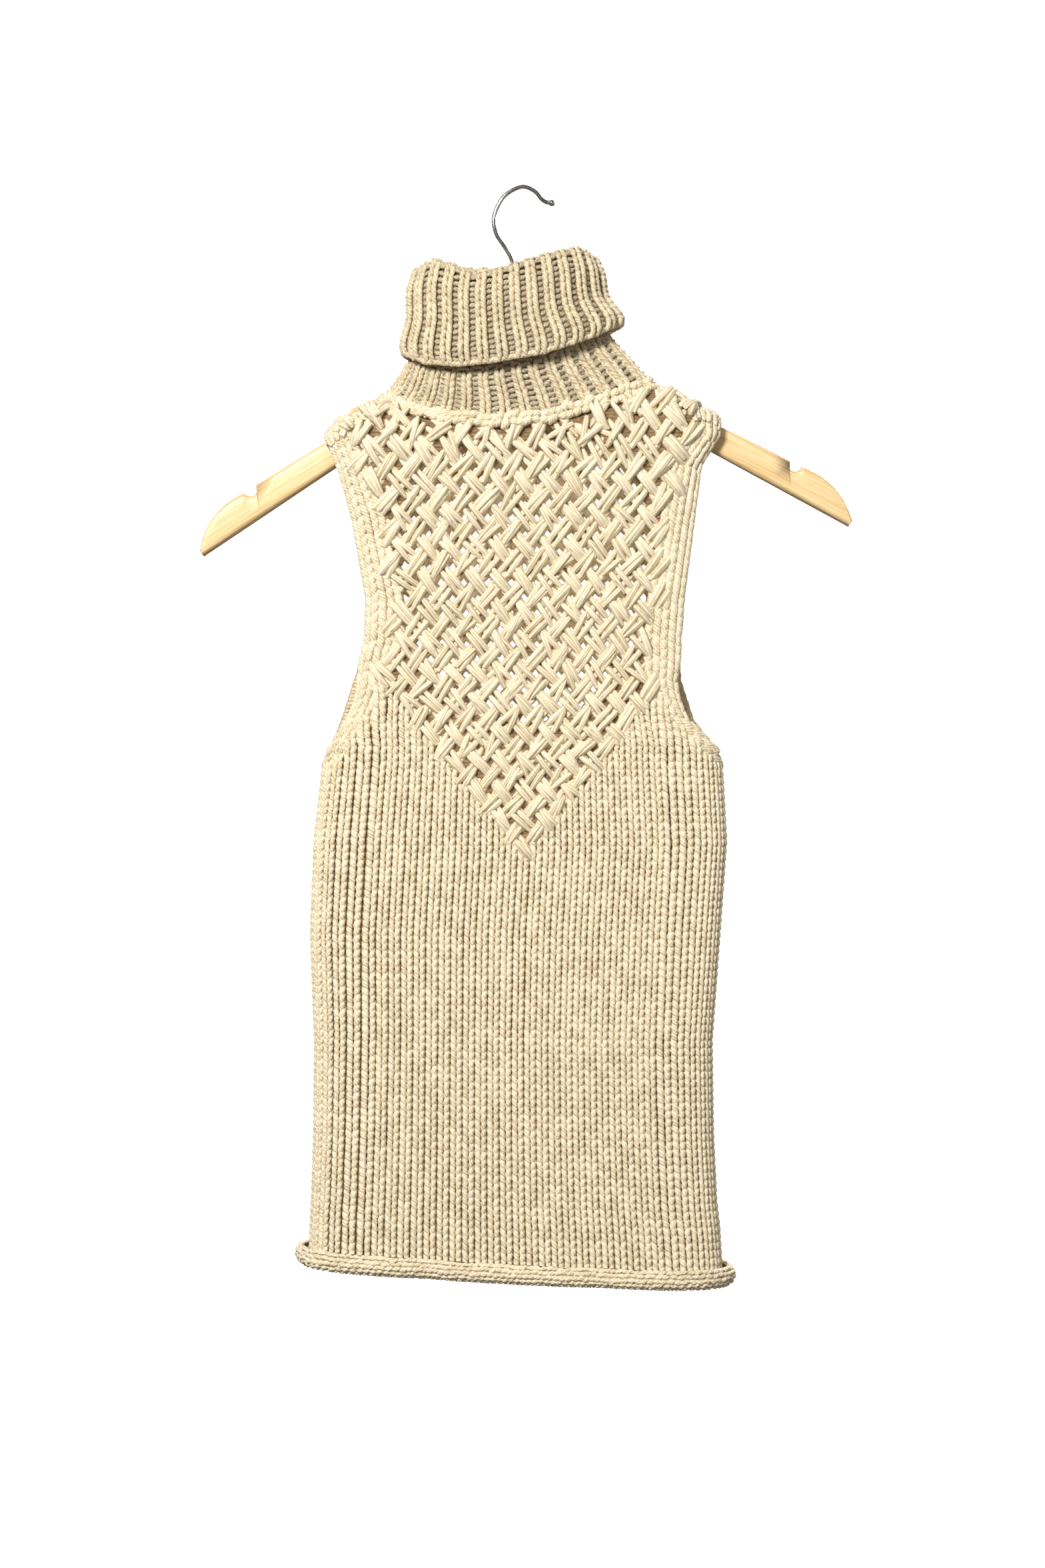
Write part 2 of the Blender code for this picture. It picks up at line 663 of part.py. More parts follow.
def arm_stations():
    """Pairs of points on one arm's upper and lower edge, from its middle out to its tip."""
    reach = NOTCH_REACH * math.cos(ARM_SLOPE)
    centre = (reach, -reach * math.tan(ARM_SLOPE) - NOTCH_SUNK)
    first = math.pi - ARM_SLOPE - NOTCH_LIP
    last = 2 * math.pi - ARM_SLOPE + NOTCH_LIP
    turns = np.linspace(first, last, ARC_POINTS)
    notch = [
        (centre[0] + NOTCH_RADIUS * math.cos(t), centre[1] + NOTCH_RADIUS * math.sin(t))
        for t in turns
    ]
    start = [*SADDLE, *[(x, -x * math.tan(ARM_SLOPE)) for x in PLAIN_ARM]]
    end = arc_through(*ARM_END, ARC_POINTS)
    below = [x for x, _ in start]
    below += list(np.linspace(notch[0][0] - NOTCH_SPREAD, notch[-1][0] + NOTCH_SPREAD, len(notch)))
    for number, (x, _) in enumerate(end):
        furthest = ARM_TIP[0] - TIP_STEP * (len(end) - number)
        below.append(min(x + NOTCH_SPREAD * 2, furthest))
    low_x, low_z = zip(*ARM_UNDERSIDE)
    lower = [(x, float(np.interp(x, low_x, low_z))) for x in below]
    return list(zip(start + notch + end, lower))


def rounded_section(high, low):
    """A ring of points round the wood between an upper and a lower point, with rounded edges."""
    span = np.array(high) - np.array(low)
    length = float(np.linalg.norm(span))
    up = span / length
    half = HANGER_THICK / 2
    radius = min(HANGER_EDGE, length * EDGE_SHARE)
    points = []
    for corner, (across, end) in enumerate(((1, 1), (-1, 1), (-1, -1), (1, -1))):
        base = np.array(high) if end > 0 else np.array(low)
        for step in range(CORNER_POINTS):
            angle = math.pi / 2 * (corner + step / (CORNER_POINTS - 1))
            y = across * (half - radius) + radius * math.cos(angle)
            place = base - up * end * radius + up * radius * math.sin(angle)
            points.append((place[0], y, place[1]))
    return points


def hanger(name, material):
    """The bow, drawn through its sections, with a drilled socket for the hook."""
    arm = arm_stations()
    mirrored = [((-high[0], high[1]), (-low[0], low[1])) for high, low in arm[:0:-1]]
    sections = [rounded_section(high, low) for high, low in mirrored + arm]
    sides = len(sections[0])
    points = np.array([point for section in sections for point in section])
    turn = np.array([
        [math.cos(HANGER_TILT), -math.sin(HANGER_TILT)],
        [math.sin(HANGER_TILT), math.cos(HANGER_TILT)],
    ])
    points[:, ::2] = points[:, ::2] @ turn.T + np.array(HANGER_APEX)
    last = (len(sections) - 1) * sides
    faces = [list(range(sides)), list(range(last + sides - 1, last - 1, -1))]
    for start in range(0, last, sides):
        for i in range(sides):
            beside = (i + 1) % sides
            faces.append((start + beside, start + i, start + sides + i, start + sides + beside))
    bow = solid(name, points, faces, material)
    socket = drill("socket", (STEM_X, 0.0, hanger_saddle()), SOCKET_RADIUS, SOCKET_DEPTH)
    cut = bow.modifiers.new("socket", "BOOLEAN")
    cut.operation = "DIFFERENCE"
    cut.solver = "EXACT"
    cut.object = socket
    return bow


def hanger_saddle():
    return HANGER_APEX[1] + SADDLE[0][1]


def drill(name, place, radius, depth):
    """A hidden cutter for a round hole that goes straight down."""
    sides = SOCKET_SIDES
    angles = [2 * math.pi * i / sides for i in range(sides)]
    circle = [(place[0] + radius * math.cos(t), place[1] + radius * math.sin(t)) for t in angles]
    points = [(x, y, z) for z in (place[2] - depth, place[2] + DRILL_START) for x, y in circle]
    faces = [list(range(sides - 1, -1, -1)), list(range(sides, 2 * sides))]
    faces += [(i, (i + 1) % sides, (i + 1) % sides + sides, i + sides) for i in range(sides)]
    cutter = solid(name, np.array(points), faces, None)
    cutter.hide_render = True
    cutter.display_type = "WIRE"
    return cutter


def smooth_route(route, steps):
    """Points of a smooth curve through a route, a few between each pair."""
    padded = np.array([route[0], *route, route[-1]], float)
    points = []
    for a, b, c, d in zip(padded, padded[1:], padded[2:], padded[3:]):
        for t in np.arange(steps) / steps:
            bend = 2 * a - 5 * b + 4 * c - d
            twist = -a + 3 * b - 3 * c + d
            points.append(0.5 * (2 * b + (c - a) * t + bend * t**2 + twist * t**3))
    points.append(np.array(route[-1], float))
    return points


def hook(name, material):
    """The wire, drawn out along its route, which swells into a ball at its end."""
    route = smooth_route(HOOK_ROUTE[1:], HOOK_STEPS)
    points = [(p[0], p[1], 1.0) for p in [np.array(HOOK_ROUTE[0], float), *route]]
    start = HOOK_ROUTE[-1]
    swell = BALL_RADIUS / WIRE_RADIUS
    for angle in BALL_ANGLES:
        t = math.radians(angle)
        along = BALL_RADIUS * (1 - math.cos(t))
        x = start[0] + along * math.cos(BALL_HEADING)
        z = start[1] + along * math.sin(BALL_HEADING)
        points.append((x, z, max(swell * math.sin(t), BALL_TIP)))
    curve = bpy.data.curves.new(name, "CURVE")
    curve.dimensions = "3D"
    curve.bevel_depth = WIRE_RADIUS * MM
    curve.bevel_resolution = HOOK_SIDES
    curve.use_fill_caps = True
    spline = curve.splines.new("POLY")
    spline.points.add(len(points) - 1)
    for spot, (x, z, radius) in zip(spline.points, points):
        spot.co = (x * MM, 0.0, z * MM, 1.0)
        spot.radius = radius
    spline.use_smooth = True
    curve.materials.append(material)
    wire = bpy.data.objects.new(name, curve)
    bpy.context.scene.collection.objects.link(wire)
    return wire


def solid(name, points, faces, material):
    mesh = bpy.data.meshes.new(name)
    mesh.from_pydata([tuple(float(c) * MM for c in p) for p in points], [], [tuple(f) for f in faces])
    mesh.validate()
    mesh.update()
    if material:
        mesh.materials.append(material)
    made = bpy.data.objects.new(name, mesh)
    bpy.context.scene.collection.objects.link(made)
    return made


def principled(name, colour, roughness, metallic=0.0):
    made = bpy.data.materials.new(name)
    made.use_nodes = True
    shader = made.node_tree.nodes["Principled BSDF"]
    shader.inputs["Base Color"].default_value = (*colour, 1.0)
    shader.inputs["Roughness"].default_value = roughness
    shader.inputs["Metallic"].default_value = metallic
    return made


def clear_scene():
    for old in list(bpy.data.objects):
        bpy.data.objects.remove(old, do_unlink=True)


def build():
    clear_scene()
    knit = principled("cotton knit", (0.66, 0.56, 0.40), 0.9)
    back_knit = principled("cotton knit back", (0.62, 0.52, 0.37), 0.9)
    rib = principled("cotton rib", (0.64, 0.54, 0.39), 0.9)
    wood = principled("pale wood", (0.72, 0.50, 0.24), 0.45)
    steel = principled("bright steel", (0.6, 0.61, 0.63), 0.18, 1.0)
    panel("front_panel", FRONT, knit)
    panel("back_panel", BACK, back_knit)
    collar("collar", rib)
    hanger("hanger", wood)
    hook("hook", steel)


build()
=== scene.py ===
# %% [markdown]
# # A sleeveless turtleneck sweater on a wooden hanger
#
# This lesson dresses a finished CAD model. The imported model is loaded as a fixed frame: its pieces
# have the right size and place, and they are never moved. Each piece of cloth is then knitted
# again over its CAD solid, yarn by yarn, and the hanger and its hook get their real finish.
# The first code cell loads the frame and keeps its box, which is printed at the end beside the dressed
# box.

import math

import bpy
import numpy as np
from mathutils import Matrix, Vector
from mathutils.geometry import delaunay_2d_cdt


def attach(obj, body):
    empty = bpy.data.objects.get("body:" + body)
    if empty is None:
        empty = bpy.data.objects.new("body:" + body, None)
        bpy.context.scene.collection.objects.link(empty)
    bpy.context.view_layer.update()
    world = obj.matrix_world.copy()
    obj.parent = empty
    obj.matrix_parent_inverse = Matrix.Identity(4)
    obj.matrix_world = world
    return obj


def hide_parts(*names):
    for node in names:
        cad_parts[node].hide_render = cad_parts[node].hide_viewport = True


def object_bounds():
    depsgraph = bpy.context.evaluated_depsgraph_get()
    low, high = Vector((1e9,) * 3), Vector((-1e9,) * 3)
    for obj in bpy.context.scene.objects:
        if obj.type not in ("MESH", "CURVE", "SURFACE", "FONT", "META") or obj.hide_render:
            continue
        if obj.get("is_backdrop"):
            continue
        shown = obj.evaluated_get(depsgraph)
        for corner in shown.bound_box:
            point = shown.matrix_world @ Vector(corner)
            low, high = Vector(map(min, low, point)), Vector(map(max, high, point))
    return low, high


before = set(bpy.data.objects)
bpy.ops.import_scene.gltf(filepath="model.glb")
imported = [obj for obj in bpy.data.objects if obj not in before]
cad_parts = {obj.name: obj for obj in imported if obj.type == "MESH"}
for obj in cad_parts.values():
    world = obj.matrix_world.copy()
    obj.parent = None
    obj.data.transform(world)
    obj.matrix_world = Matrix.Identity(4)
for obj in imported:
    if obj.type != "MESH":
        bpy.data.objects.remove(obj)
cad_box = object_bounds()
print("frame:", ", ".join(sorted(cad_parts)))

# %% [markdown]
# ## Camera
#
# The photograph looks straight at the front, level with the middle of the picture. A real size
# on the garment gives the scale of the picture, and that scale gives the camera's place: the
# picture's height in metres and the distance together fix the focal length. The frame's middle
# is worked out from the pixel where the hook's inside top lies, which is the CAD model's origin.

# %% Camera
MM = 0.001
PHOTO_WIDTH = 1568
PHOTO_HEIGHT = 2352
PIXEL = 0.4574 * MM
HOOK_PIXEL = (783.2, 283.3)
CAMERA_DISTANCE = 1.8


def add_camera():
    x = (PHOTO_WIDTH / 2 - HOOK_PIXEL[0]) * PIXEL
    z = (HOOK_PIXEL[1] - PHOTO_HEIGHT / 2) * PIXEL
    lens = bpy.data.cameras.new("camera")
    lens.lens = lens.sensor_width * CAMERA_DISTANCE / (PHOTO_HEIGHT * PIXEL)
    camera = bpy.data.objects.new("camera", lens)
    camera.location = (x, -CAMERA_DISTANCE, z)
    camera.rotation_euler = (math.pi / 2, 0, 0)
    bpy.context.scene.collection.objects.link(camera)
    bpy.context.scene.camera = camera
    print(f"camera: {lens.lens:.1f} mm lens, level at {z:.3f} m")


add_camera()

# %% [markdown]
# ## Light and background
#
# The photograph is a catalogue picture: soft light from the front and from above left, and a
# background of plain white. Wide area lamps give soft shadows between the stitches, and two faint
# ones inside the chest stand for the light that real cloth lets through. The floor and the wall
# are one wide bowl round the object, so no line shows where they meet, whichever way one looks.
# It glows white, but its glow doesn't reach the cloth, where it would fill every shadow, nor the
# wire, which would mirror it all round. The standard view shows colours as they are mixed, and
# keeps the white plain white.

# %% The white bowl
FLOOR_Z = -1.35
WALL_RADIUS = 5.0
WALL_TOP = 6.0
WALL_SIDES = 64
COVE_RADIUS = 0.9
COVE_STEPS = 12
BACKDROP_WHITE = (0.95, 0.95, 0.95, 1)
BACKDROP_GLOW = 1.2


def white_backdrop():
    made = bpy.data.materials.new("white backdrop")
    made.use_nodes = True
    shader = made.node_tree.nodes["Principled BSDF"]
    shader.inputs["Base Color"].default_value = BACKDROP_WHITE
    shader.inputs["Roughness"].default_value = 0.9
    shader.inputs["Emission Color"].default_value = (1, 1, 1, 1)
    shader.inputs["Emission Strength"].default_value = BACKDROP_GLOW
    return made


def add_backdrop():
    flat = WALL_RADIUS - COVE_RADIUS
    profile = [(flat / 2, FLOOR_Z)]
    for turn in np.linspace(-math.pi / 2, 0, COVE_STEPS):
        height = FLOOR_Z + COVE_RADIUS * (1 + math.sin(turn))
        profile.append((flat + COVE_RADIUS * math.cos(turn), height))
    profile.append((WALL_RADIUS, WALL_TOP))
    angles = np.linspace(0, 2 * math.pi, WALL_SIDES, endpoint=False)
    points = [(r * math.cos(t), r * math.sin(t), z) for r, z in profile for t in angles]
    faces = [list(range(WALL_SIDES))]
    for low in range(0, (len(profile) - 1) * WALL_SIDES, WALL_SIDES):
        for i in range(WALL_SIDES):
            beside = (i + 1) % WALL_SIDES
            faces.append((low + beside, low + i, low + WALL_SIDES + i, low + WALL_SIDES + beside))
    mesh = bpy.data.meshes.new("backdrop")
    mesh.from_pydata(points, [], faces)
    mesh.shade_smooth()
    mesh.materials.append(white_backdrop())
    sheet = bpy.data.objects.new("backdrop", mesh)
    sheet.visible_diffuse = False
    sheet.visible_glossy = False
    sheet.visible_shadow = False
    bpy.context.scene.collection.objects.link(sheet)
    sheet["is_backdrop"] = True
    print(f"backdrop: a bowl {2 * WALL_RADIUS:.0f} m wide, {len(faces)} faces")


add_backdrop()

# %% Lamps
AROUND = 0.18
AROUND_COLOUR = (1.0, 0.93, 0.82, 1)
WHITE = (1.0, 1.0, 1.0)
LAMPS = (
    # name, place, aim, size, watts, colour
    ("key lamp", (-0.95, -2.2, 0.9), (0, 0, -0.38), 0.7, 98, (1.0, 0.985, 0.96)),
    ("fill lamp", (1.5, -1.8, -0.2), (0, 0, -0.4), 1.2, 6, WHITE),
    ("rear lamp", (1.0, 2.2, 0.8), (0, 0, -0.38), 1.0, 75, (1.0, 0.99, 0.97)),
    ("left lamp", (-2.4, 0.2, 0.2), (0, 0, -0.38), 1.2, 1.5, WHITE),
    ("right lamp", (2.4, 0.2, 0.2), (0, 0, -0.38), 1.2, 1.5, WHITE),
)
CHEST_Z = -0.265
INNER_OFFSET = 0.003
INNER_SIZE = (0.15, 0.17)
INNER_WATTS = 0.018
INNER_COLOUR = (1.0, 0.93, 0.80)


def add_lamp(name, place, target, size, watts, colour):
    lamp = bpy.data.lights.new(name, "AREA")
    lamp.shape = "SQUARE"
    lamp.size = size
    lamp.energy = watts
    lamp.color = colour
    holder = bpy.data.objects.new(name, lamp)
    holder.location = place
    aim = Vector(target) - Vector(place)
    holder.rotation_euler = aim.to_track_quat("-Z", "Y").to_euler()
    bpy.context.scene.collection.objects.link(holder)


def add_inner_lamp(name, facing):
    """A faint lamp within the chest, for the light that real cloth lets through."""
    place = (0.0, facing * INNER_OFFSET, CHEST_Z)
    add_lamp(name, place, (0.0, facing, CHEST_Z), INNER_SIZE[0], INNER_WATTS, INNER_COLOUR)
    holder = bpy.data.objects[name]
    holder.data.shape = "RECTANGLE"
    holder.data.size_y = INNER_SIZE[1]
    holder.visible_camera = False
    holder.visible_glossy = False


def add_world(strength):
    world = bpy.data.worlds.new("soft white")
    world.use_nodes = True
    world.node_tree.nodes["Background"].inputs["Color"].default_value = AROUND_COLOUR
    world.node_tree.nodes["Background"].inputs["Strength"].default_value = strength
    bpy.context.scene.world = world


add_world(AROUND)
for lamp in LAMPS:
    add_lamp(*lamp)
add_inner_lamp("inner lamp to the back", 1)
add_inner_lamp("inner lamp to the front", -1)
bpy.context.scene.view_settings.view_transform = "Standard"
print(f"light: {len(LAMPS)} lamps round the object and two faint ones inside the chest")

# %% [markdown]
# ## How the cloth hangs
#
# Front and back are worked out in the flat, as a knitter would chart them. There u runs across
# the cloth from its middle, and v runs up it and is also the height on the upright part. The
# functions below repeat the rule by which the CAD solids were made: a panel hangs flat in the
# middle, rounds away at its sides, arches over the hanger at the shoulders and curls outwards
# at its hem. Every stitch is then placed in the flat and carried over by the same rule.

# %% The garment's outline
FRONT = -1
BACK = 1
WALL = 4.0
SEAM_GAP = 0.3
OUTLINE = np.array([
    # height, half width, middle, half depth, reach round the side in degrees
    (-170.0, 135.5, 0.5, 23.0, 57.0),
    (-191.0, 125.2, -2.0, 21.5, 52.0),
    (-227.0, 117.5, 0.8, 18.5, 45.0),
    (-282.0, 109.0, 2.2, 16.5, 38.0),
    (-310.0, 108.6, 0.5, 16.0, 38.0),
    (-337.0, 113.4, -3.2, 16.0, 41.0),
    (-364.0, 122.0, -3.2, 16.5, 50.0),
    (-383.0, 133.6, 0.6, 17.0, 68.0),
    (-393.0, 136.0, 0.4, 17.2, 90.0),
    (-447.0, 140.6, -1.2, 18.5, 90.0),
    (-511.0, 139.5, -4.7, 20.0, 90.0),
    (-584.0, 135.4, -6.0, 22.0, 90.0),
    (-648.0, 136.1, -5.8, 23.5, 90.0),
    (-694.0, 138.0, -5.4, 24.5, 90.0),
    (-712.0, 139.5, -4.9, 25.0, 90.0),
    (-735.0, 140.5, -4.5, 25.5, 90.0),
])
Z, HALF_WIDTH, MIDDLE, HALF_DEPTH, REACH = OUTLINE[::-1].T
SIDE_ROUND = 40.0
ARMHOLE_Z = -393.0
FRONT_CUT = 7.0
FRONT_CUT_Z = -352.0
FRONT_CUT_SPAN = 22.0
FOLDS = (
    # place across, top, bottom, half width, depth
    (-109.0, -400.0, -760.0, 24.0, 2.4),
    (114.0, -400.0, -760.0, 24.0, 2.0),
    (4.0, -455.0, -640.0, 14.0, 2.2),
    (-58.0, -610.0, -790.0, 26.0, 3.0),
    (58.0, -590.0, -790.0, 30.0, 2.5),
)
FOLD_FADE = 60.0
print(f"the garment is {2 * HALF_WIDTH.max():.0f} mm across and {2 * HALF_DEPTH.max():.0f} mm deep")

# %% Measures at any height
def row_value(table, z):
    return np.interp(z, Z, table)


def middle_at(z):
    return row_value(MIDDLE, z)


def reach_at(z):
    return np.radians(row_value(REACH, z))


def side_length(z):
    """How long the rounded side of a panel is over a full quarter turn."""
    depth = row_value(HALF_DEPTH, z)
    cross = (3 * SIDE_ROUND + depth) * (SIDE_ROUND + 3 * depth)
    return math.pi / 4 * (3 * (SIDE_ROUND + depth) - np.sqrt(cross))


def flat_half(z):
    return row_value(HALF_WIDTH, z) - SIDE_ROUND * np.sin(reach_at(z))


def edge_u(z):
    """Where a panel's edge lies in the flat."""
    return flat_half(z) + side_length(z) * reach_at(z) / (math.pi / 2)


def fold_depth(u, v):
    depth = np.zeros(np.shape(u))
    for place, top, bottom, half_width, deepest in FOLDS:
        across = np.clip(1 - np.abs(u - place) / half_width, 0, 1)
        along = np.clip((top - v) / FOLD_FADE, 0, 1) * np.clip((v - bottom) / FOLD_FADE, 0, 1)
        depth += deepest * (3 - 2 * across) * across**2 * along
    return depth


print(f"the cloth is {2 * float(edge_u(Z[0])):.0f} mm wide in the flat at the hem")

# %% The hanger's slope and the neck line
HANGER_APEX = (-4.0, -94.0)
HANGER_TILT = math.radians(2.65)
ARM_SLOPE = math.radians(28.9)
SEAT_GAP = 0.6
NECK_X = -3.0
NECK_HALF_WIDTH = 95.0
NECK_HALF_DEPTH = 23.0
NECK_EDGE = {
    FRONT: ((-87.0, -151.0), (-60.0, -159.5), (-20.0, -165.5), (20.0, -161.5), (62.0, -149.5)),
    BACK: ((-80.0, -148.0), (-20.0, -152.0), (50.0, -144.0)),
}
ARCH_HEIGHT = 9.0
ARCH_UNROLLED = 13.0


def shoulder_top(x):
    """Height of the cloth where it passes over the hanger."""
    away = x - HANGER_APEX[0]
    slope = np.where(away < 0, ARM_SLOPE + HANGER_TILT, ARM_SLOPE - HANGER_TILT)
    wood = HANGER_APEX[1] - np.abs(away) * np.tan(slope)
    return wood + (WALL + SEAT_GAP) / np.cos(slope)


def neck_height(side, x):
    ends = [NECK_X - NECK_HALF_WIDTH, NECK_X + NECK_HALF_WIDTH]
    across = [ends[0], *[row[0] for row in NECK_EDGE[side]], ends[1]]
    heights = [row[1] for row in NECK_EDGE[side]]
    low, high = (float(shoulder_top(np.array(end))) for end in ends)
    return np.interp(x, across, [low, *heights, high])


def neck_share(x):
    return np.abs(x - NECK_X) / NECK_HALF_WIDTH


def arch_start(side, x):
    """Height at which the upright cloth begins to arch over towards its top edge."""
    share = neck_share(x)
    at_neck = neck_height(side, x) - ARCH_HEIGHT * share
    return np.where(share < 1, at_neck, shoulder_top(x) - ARCH_HEIGHT)


def top_edge(side, u, v):
    """Where a panel ends at its top, in the flat, above a point in the flat."""
    near = np.minimum(v, arch_start(side, u + middle_at(v)))
    x = u + middle_at(near)
    turned = np.arcsin(np.clip(neck_share(x), 0, 1))
    return arch_start(side, x) + ARCH_UNROLLED * turned


print(f"the front neck line dips to {min(z for _, z in NECK_EDGE[FRONT])} mm")

# %% From the flat to the hanging cloth
HEM_LOWEST = -745.9
HEM_SLOPE = -0.05
HEM_BOW = 0.0001
CURL_INSIDE = 3.0
CURL_ANGLE = math.radians(250.0)
CURL_RADIUS = CURL_INSIDE + WALL / 2
CURL_FLAT = CURL_ANGLE * CURL_RADIUS
HEM_REACH = 150.0
TINY = 0.4


def curl_start(u):
    """Height at which the hem begins to curl, above a place in the flat."""
    x = np.clip(np.asarray(u) + MIDDLE[0], -HEM_REACH, HEM_REACH)
    return HEM_LOWEST + HEM_SLOPE * x + HEM_BOW * x**2 + CURL_INSIDE + WALL


def upright(side, u, v):
    """The knit face without its curl."""
    near = np.minimum(v, arch_start(side, u + middle_at(v)))
    start = arch_start(side, u + middle_at(near))
    z = np.minimum(v, start)
    arch = np.clip((v - start) / ARCH_UNROLLED, 0, math.pi)
    size = np.abs(u)
    turn = np.maximum(size - flat_half(z), 0) / side_length(z) * (math.pi / 2)
    across = np.minimum(size, flat_half(z)) + SIDE_ROUND * np.sin(turn)
    if side == FRONT:
        cut = np.exp(-(((z - FRONT_CUT_Z) / FRONT_CUT_SPAN) ** 2))
        across = across - FRONT_CUT * cut * np.clip(size / row_value(HALF_WIDTH, z), 0, 1) ** 4
    depth = (row_value(HALF_DEPTH, z) - fold_depth(u, z)) * np.cos(turn) * np.cos(arch)
    x = middle_at(z) + np.sign(u) * across
    return np.stack([x, side * depth, z + ARCH_HEIGHT * np.sin(arch)], axis=-1)


print(f"the front lies {-upright(FRONT, np.zeros(1), np.full(1, -300.0))[0, 1]:.0f} mm before the hook")

# %% The knit face and its directions
def unit(vectors):
    return vectors / np.linalg.norm(vectors, axis=-1, keepdims=True)


def panel_face(side, u, v):
    """A panel's knit face where it hangs."""
    u = np.asarray(u, float)
    v = np.asarray(v, float)
    start = curl_start(u)
    held = np.maximum(v, start)
    point = upright(side, u, held)
    along = unit((upright(side, u + TINY, held) - upright(side, u - TINY, held))[..., :2])
    outwards = np.stack([-side * along[..., 1], side * along[..., 0]], axis=-1)
    turned = np.maximum(start - v, 0) / CURL_RADIUS
    point[..., :2] += outwards * (CURL_INSIDE * (1 - np.cos(turned)))[..., None]
    point[..., 2] -= CURL_INSIDE * np.sin(turned)
    return point


def on_cloth(side, u, v):
    """The knit face at flat points, with its directions across, up and outwards."""
    u = np.asarray(u, float)
    v = np.asarray(v, float)
    across = unit(panel_face(side, u + TINY, v) - panel_face(side, u - TINY, v))
    up = unit(panel_face(side, u, v + TINY) - panel_face(side, u, v - TINY))
    return panel_face(side, u, v), across, up, unit(-side * np.cross(across, up))


print(f"the hem's roll takes {CURL_FLAT:.0f} mm of cloth")

# %% [markdown]
# ## The lattice of crossing wales
#
# Above a V at the waist, pairs of wales cross over and under each other, and the crossings shift
# by one wale from row to row. That traditional cable lattice opens small gaps. It is counted
# here in wales and rows from the tip of the V, so a crossing lies where column plus row is even
# and a gap where it is odd. Gaps in the lattice's middle are open. They reach further out here
# than in the CAD solids, which have room for fewer cut gaps.

# %% Lattice
LATTICE_TIP = -452.0
LATTICE_X = 1.5
ROW_RISE = 9.5
ROW_RISE_GAIN = 0.0346
LATTICE_WALE = 7.6
LATTICE_WALE_GAIN = 0.033
PLAIN_EDGE = 7.0
LATTICE_ROWS = 33
TOP_MARGIN = 2.0
OPEN_LATTICE = (1.5, -262.0, 92.0, 104.0)


def lattice_place(column, row):
    v = LATTICE_TIP + ROW_RISE * row + ROW_RISE_GAIN * row**2
    u = LATTICE_X - middle_at(v) + column * (LATTICE_WALE + LATTICE_WALE_GAIN * row)
    return np.stack([u, v], axis=-1)


def lattice_row(v):
    """The row count, with its fraction, at a height in the flat."""
    inside = ROW_RISE**2 + 4 * ROW_RISE_GAIN * (v - LATTICE_TIP)
    return (np.sqrt(np.maximum(inside, 0)) - ROW_RISE) / (2 * ROW_RISE_GAIN)


def in_lattice(side, column, row):
    if abs(column) > row:
        return False
    for across in (-0.5, 0.5):
        for up in (-0.5, 0.5):
            u, v = lattice_place(column + across, row + up)
            if abs(u) > edge_u(v) - PLAIN_EDGE or v > top_edge(side, u, v) - TOP_MARGIN:
                return False
    return True


def is_open(column, row):
    """Whether one looks through the gap here."""
    x, z, half_width, half_height = OPEN_LATTICE
    u, v = lattice_place(column, row)
    return ((u + middle_at(v) - x) / half_width) ** 2 + ((v - z) / half_height) ** 2 < 1


def open_gaps(side):
    """The gaps that one looks through, as column and row."""
    found = [(c, r) for r in range(LATTICE_ROWS) for c in range(-r, r + 1) if (c + r) % 2 == 1]
    return [(c, r) for c, r in found if in_lattice(side, c, r) and is_open(c, r)]


GAPS = {side: open_gaps(side) for side in (FRONT, BACK)}
print("open gaps, front and back:", len(GAPS[FRONT]), len(GAPS[BACK]))

# %% [markdown]
# ## A ground of cloth under the yarn
#
# Stitches never close a surface: between them one sees the yarn that runs behind. A thin sheet
# of cloth under the stitches gives that depth, closes the panel and carries the rough purl side
# on its inside. Its knit side is coloured dark, as painted shade in the gaps between stitches. It
# is cut in the flat with its gaps, as a triangulated outline, and then hung by the same rule as
# the stitches. Its two skins are joined along every edge, so it is a closed body.

# %% Outline of a panel in the flat
EDGE_STEP = 8.0
TIP_Z = -165.0
SHOULDER_POINTS = 8
NECK_POINTS = 60
CURL_POINTS = 7
TIP_TURNS = (0, 30, 60)


def side_edge(side, hand):
    """The side seam and the armhole in the flat, from the hem up to the shoulder."""
    bottom = hand * float(edge_u(Z[0]))
    start = float(curl_start(bottom))
    points = [(bottom, start - CURL_FLAT * share) for share in np.linspace(1, 0, CURL_POINTS)]
    tip_x = float(row_value(HALF_WIDTH, TIP_Z))
    tip_start = float(arch_start(side, np.array(hand * tip_x + middle_at(TIP_Z))))
    for v in np.arange(Z[0] + EDGE_STEP, tip_start - EDGE_STEP / 2, EDGE_STEP):
        points.append((hand * float(edge_u(v)), v))
    tip_u = hand * float(edge_u(TIP_Z))
    for turned in np.radians(TIP_TURNS):
        points.append((tip_u, tip_start + ARCH_UNROLLED * turned))
    return np.array(points)


def top_line(side, x):
    """A panel's top edge in the flat, at places across."""
    start = arch_start(side, x)
    turned = np.arcsin(np.clip(neck_share(x), 0, 1))
    return np.stack([x - middle_at(start), start + ARCH_UNROLLED * turned], axis=1)


